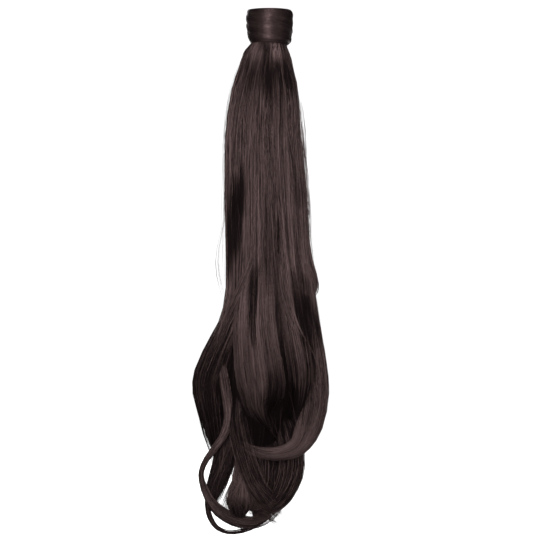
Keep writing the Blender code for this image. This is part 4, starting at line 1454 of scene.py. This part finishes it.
class PONYTAIL_OT_band(bpy.types.Operator):
    """Weave the band and give the comb its moulded finish"""

    bl_idname = "ponytail.band"
    bl_label = "Band and Comb"

    def execute(self, context):
        band = settings()[2]
        piece = grow("woven_ring", "weave_band", {
            "Radius": HOLLOW_RADIUS, "Wall": BAND_HIGH.x - HOLLOW_RADIUS,
            "Height": BAND_HIGH.z - BAND_LOW.z, "Foot": BAND_LOW.z, "Warp Threads": float(band.warp_count),
            "Weft Threads": float(band.weft_count), "Thread Relief": band.thread_relief,
        }, woven_material("woven_tape", band.band_colour))
        finish(piece, "base_band")
        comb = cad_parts["comb"]
        for slot in comb.material_slots:
            slot.material = moulded_material("moulded_comb", band.comb_colour)
        return {"FINISHED"}


class PONYTAIL_OT_studio(bpy.types.Operator):
    """Set the camera, the soft lights and the pale floor"""

    bl_idname = "ponytail.studio"
    bl_label = "Studio"

    def execute(self, context):
        studio = settings()[3]
        self.set_camera(studio)
        self.set_room(studio)
        self.add_area("key_light", (-0.22, -2.25, 0.25), (0.80, 1.5), studio.key_power)
        self.add_area("fill_light", (1.7, -1.6, 0.0), (0.6, 1.4), studio.fill_power)
        self.add_area("top_light", (0.15, -0.9, 1.5), (0.9, 0.6), studio.top_power)
        self.add_area("back_left_light", (-0.9, 2.3, 0.2), (0.9, 1.5), studio.back_power)
        self.add_area("back_right_light", (1.1, 2.2, 0.1), (0.9, 1.5), studio.back_power)
        bpy.context.scene.view_settings.view_transform = "Standard"
        return {"FINISHED"}

    def set_camera(self, studio):
        camera = bpy.data.cameras.new("photo_camera")
        camera.sensor_width = 36.0
        camera.lens = camera.sensor_width * studio.camera_distance / studio.view_height
        camera.clip_end = 50.0
        holder = add_object("photo_camera", camera)
        holder.location = (VIEW_CENTRE_X, -studio.camera_distance, VIEW_CENTRE_Z)
        holder.rotation_euler = (pi / 2, 0, 0)
        bpy.context.scene.camera = holder

    def add_area(self, name, place, size, power):
        """A light of the given width and height that faces the hairpiece's middle."""
        light = bpy.data.lights.new(name, "AREA")
        light.shape = "RECTANGLE"
        light.size, light.size_y = size
        light.energy = power
        holder = add_object(name, light)
        holder.location = place
        aim = Vector((0.0, 0.0, CAD_BOX[0][2] / 2)) - holder.location
        holder.rotation_euler = aim.to_track_quat("-Z", "Y").to_euler()

    def set_room(self, studio):
        """A round white floor that curves up into a wall, seen but casting no light on the hair."""
        floor = CAD_BOX[0][2] - studio.floor_drop
        sides, middle_radius, flat_radius, bend, wall_top, roof_top = 96, 0.5, 4.0, 1.5, 5.0, 6.5
        profile = [(middle_radius, 0.0), (flat_radius, 0.0)]
        for a in np.linspace(0.1, pi / 2, 12):
            profile.append((flat_radius + bend * sin(a), bend - bend * cos(a)))
        profile += [(flat_radius + bend, wall_top), (middle_radius, roof_top)]
        shell = Shell()
        middle = shell.add_points([(0.0, 0.0, floor)])
        rings = [
            shell.add_points(round_axis(radius, circle(sides), floor + rise)) for radius, rise in profile
        ]
        for side in range(sides):
            shell.faces.append((middle, rings[0] + side, rings[0] + (side + 1) % sides))
        shell.bridge(rings, sides, inside_out=True)
        material, shader, _ = new_material("white_room")
        shader.inputs["Base Color"].default_value = (0.9, 0.9, 0.9, 1.0)
        shader.inputs["Roughness"].default_value = 0.9
        shader.inputs["Emission Color"].default_value = (1.0, 1.0, 1.0, 1.0)
        shader.inputs["Emission Strength"].default_value = 1.0
        room = shell.build("studio_room", material)
        room.visible_diffuse = room.visible_glossy = room.visible_shadow = False
        world = bpy.data.worlds.new("soft_surround")
        world.use_nodes = True
        background = world.node_tree.nodes["Background"]
        background.inputs["Color"].default_value = (1.0, 1.0, 1.0, 1.0)
        background.inputs["Strength"].default_value = studio.world_strength
        bpy.context.scene.world = world


class PONYTAIL_PT_panel(bpy.types.Panel):
    """Lists the steps that dress the hairpiece"""

    bl_idname = "PONYTAIL_PT_panel"
    bl_label = "Ponytail Hairpiece"
    bl_space_type = "VIEW_3D"
    bl_region_type = "UI"
    bl_category = "Ponytail"

    def draw(self, context):
        for step in STEPS:
            self.layout.operator(step.bl_idname)
        for group in settings():
            box = self.layout.box()
            for name in group.__annotations__:
                box.prop(group, name)


STEPS = (
    PONYTAIL_OT_locks, PONYTAIL_OT_strands, PONYTAIL_OT_flyaways, PONYTAIL_OT_collar, PONYTAIL_OT_roots,
    PONYTAIL_OT_band, PONYTAIL_OT_studio,
)
GROUPS = {
    "ponytail_hair": HairSettings, "ponytail_collar": CollarSettings,
    "ponytail_band": BandSettings, "ponytail_studio": StudioSettings,
}


def register():
    for kind in (*GROUPS.values(), *STEPS, PONYTAIL_PT_panel):
        bpy.utils.register_class(kind)
    for name, kind in GROUPS.items():
        setattr(bpy.types.Scene, name, PointerProperty(type=kind))


def unregister():
    for name in GROUPS:
        delattr(bpy.types.Scene, name)
    for kind in (PONYTAIL_PT_panel, *reversed(STEPS), *reversed(GROUPS.values())):
        bpy.utils.unregister_class(kind)


def main():
    register()
    bpy.ops.ponytail.locks()
    bpy.ops.ponytail.strands()
    bpy.ops.ponytail.flyaways()
    bpy.ops.ponytail.collar()
    bpy.ops.ponytail.roots()
    bpy.ops.ponytail.band()
    bpy.ops.ponytail.studio()


if __name__ == "__main__":
    main()
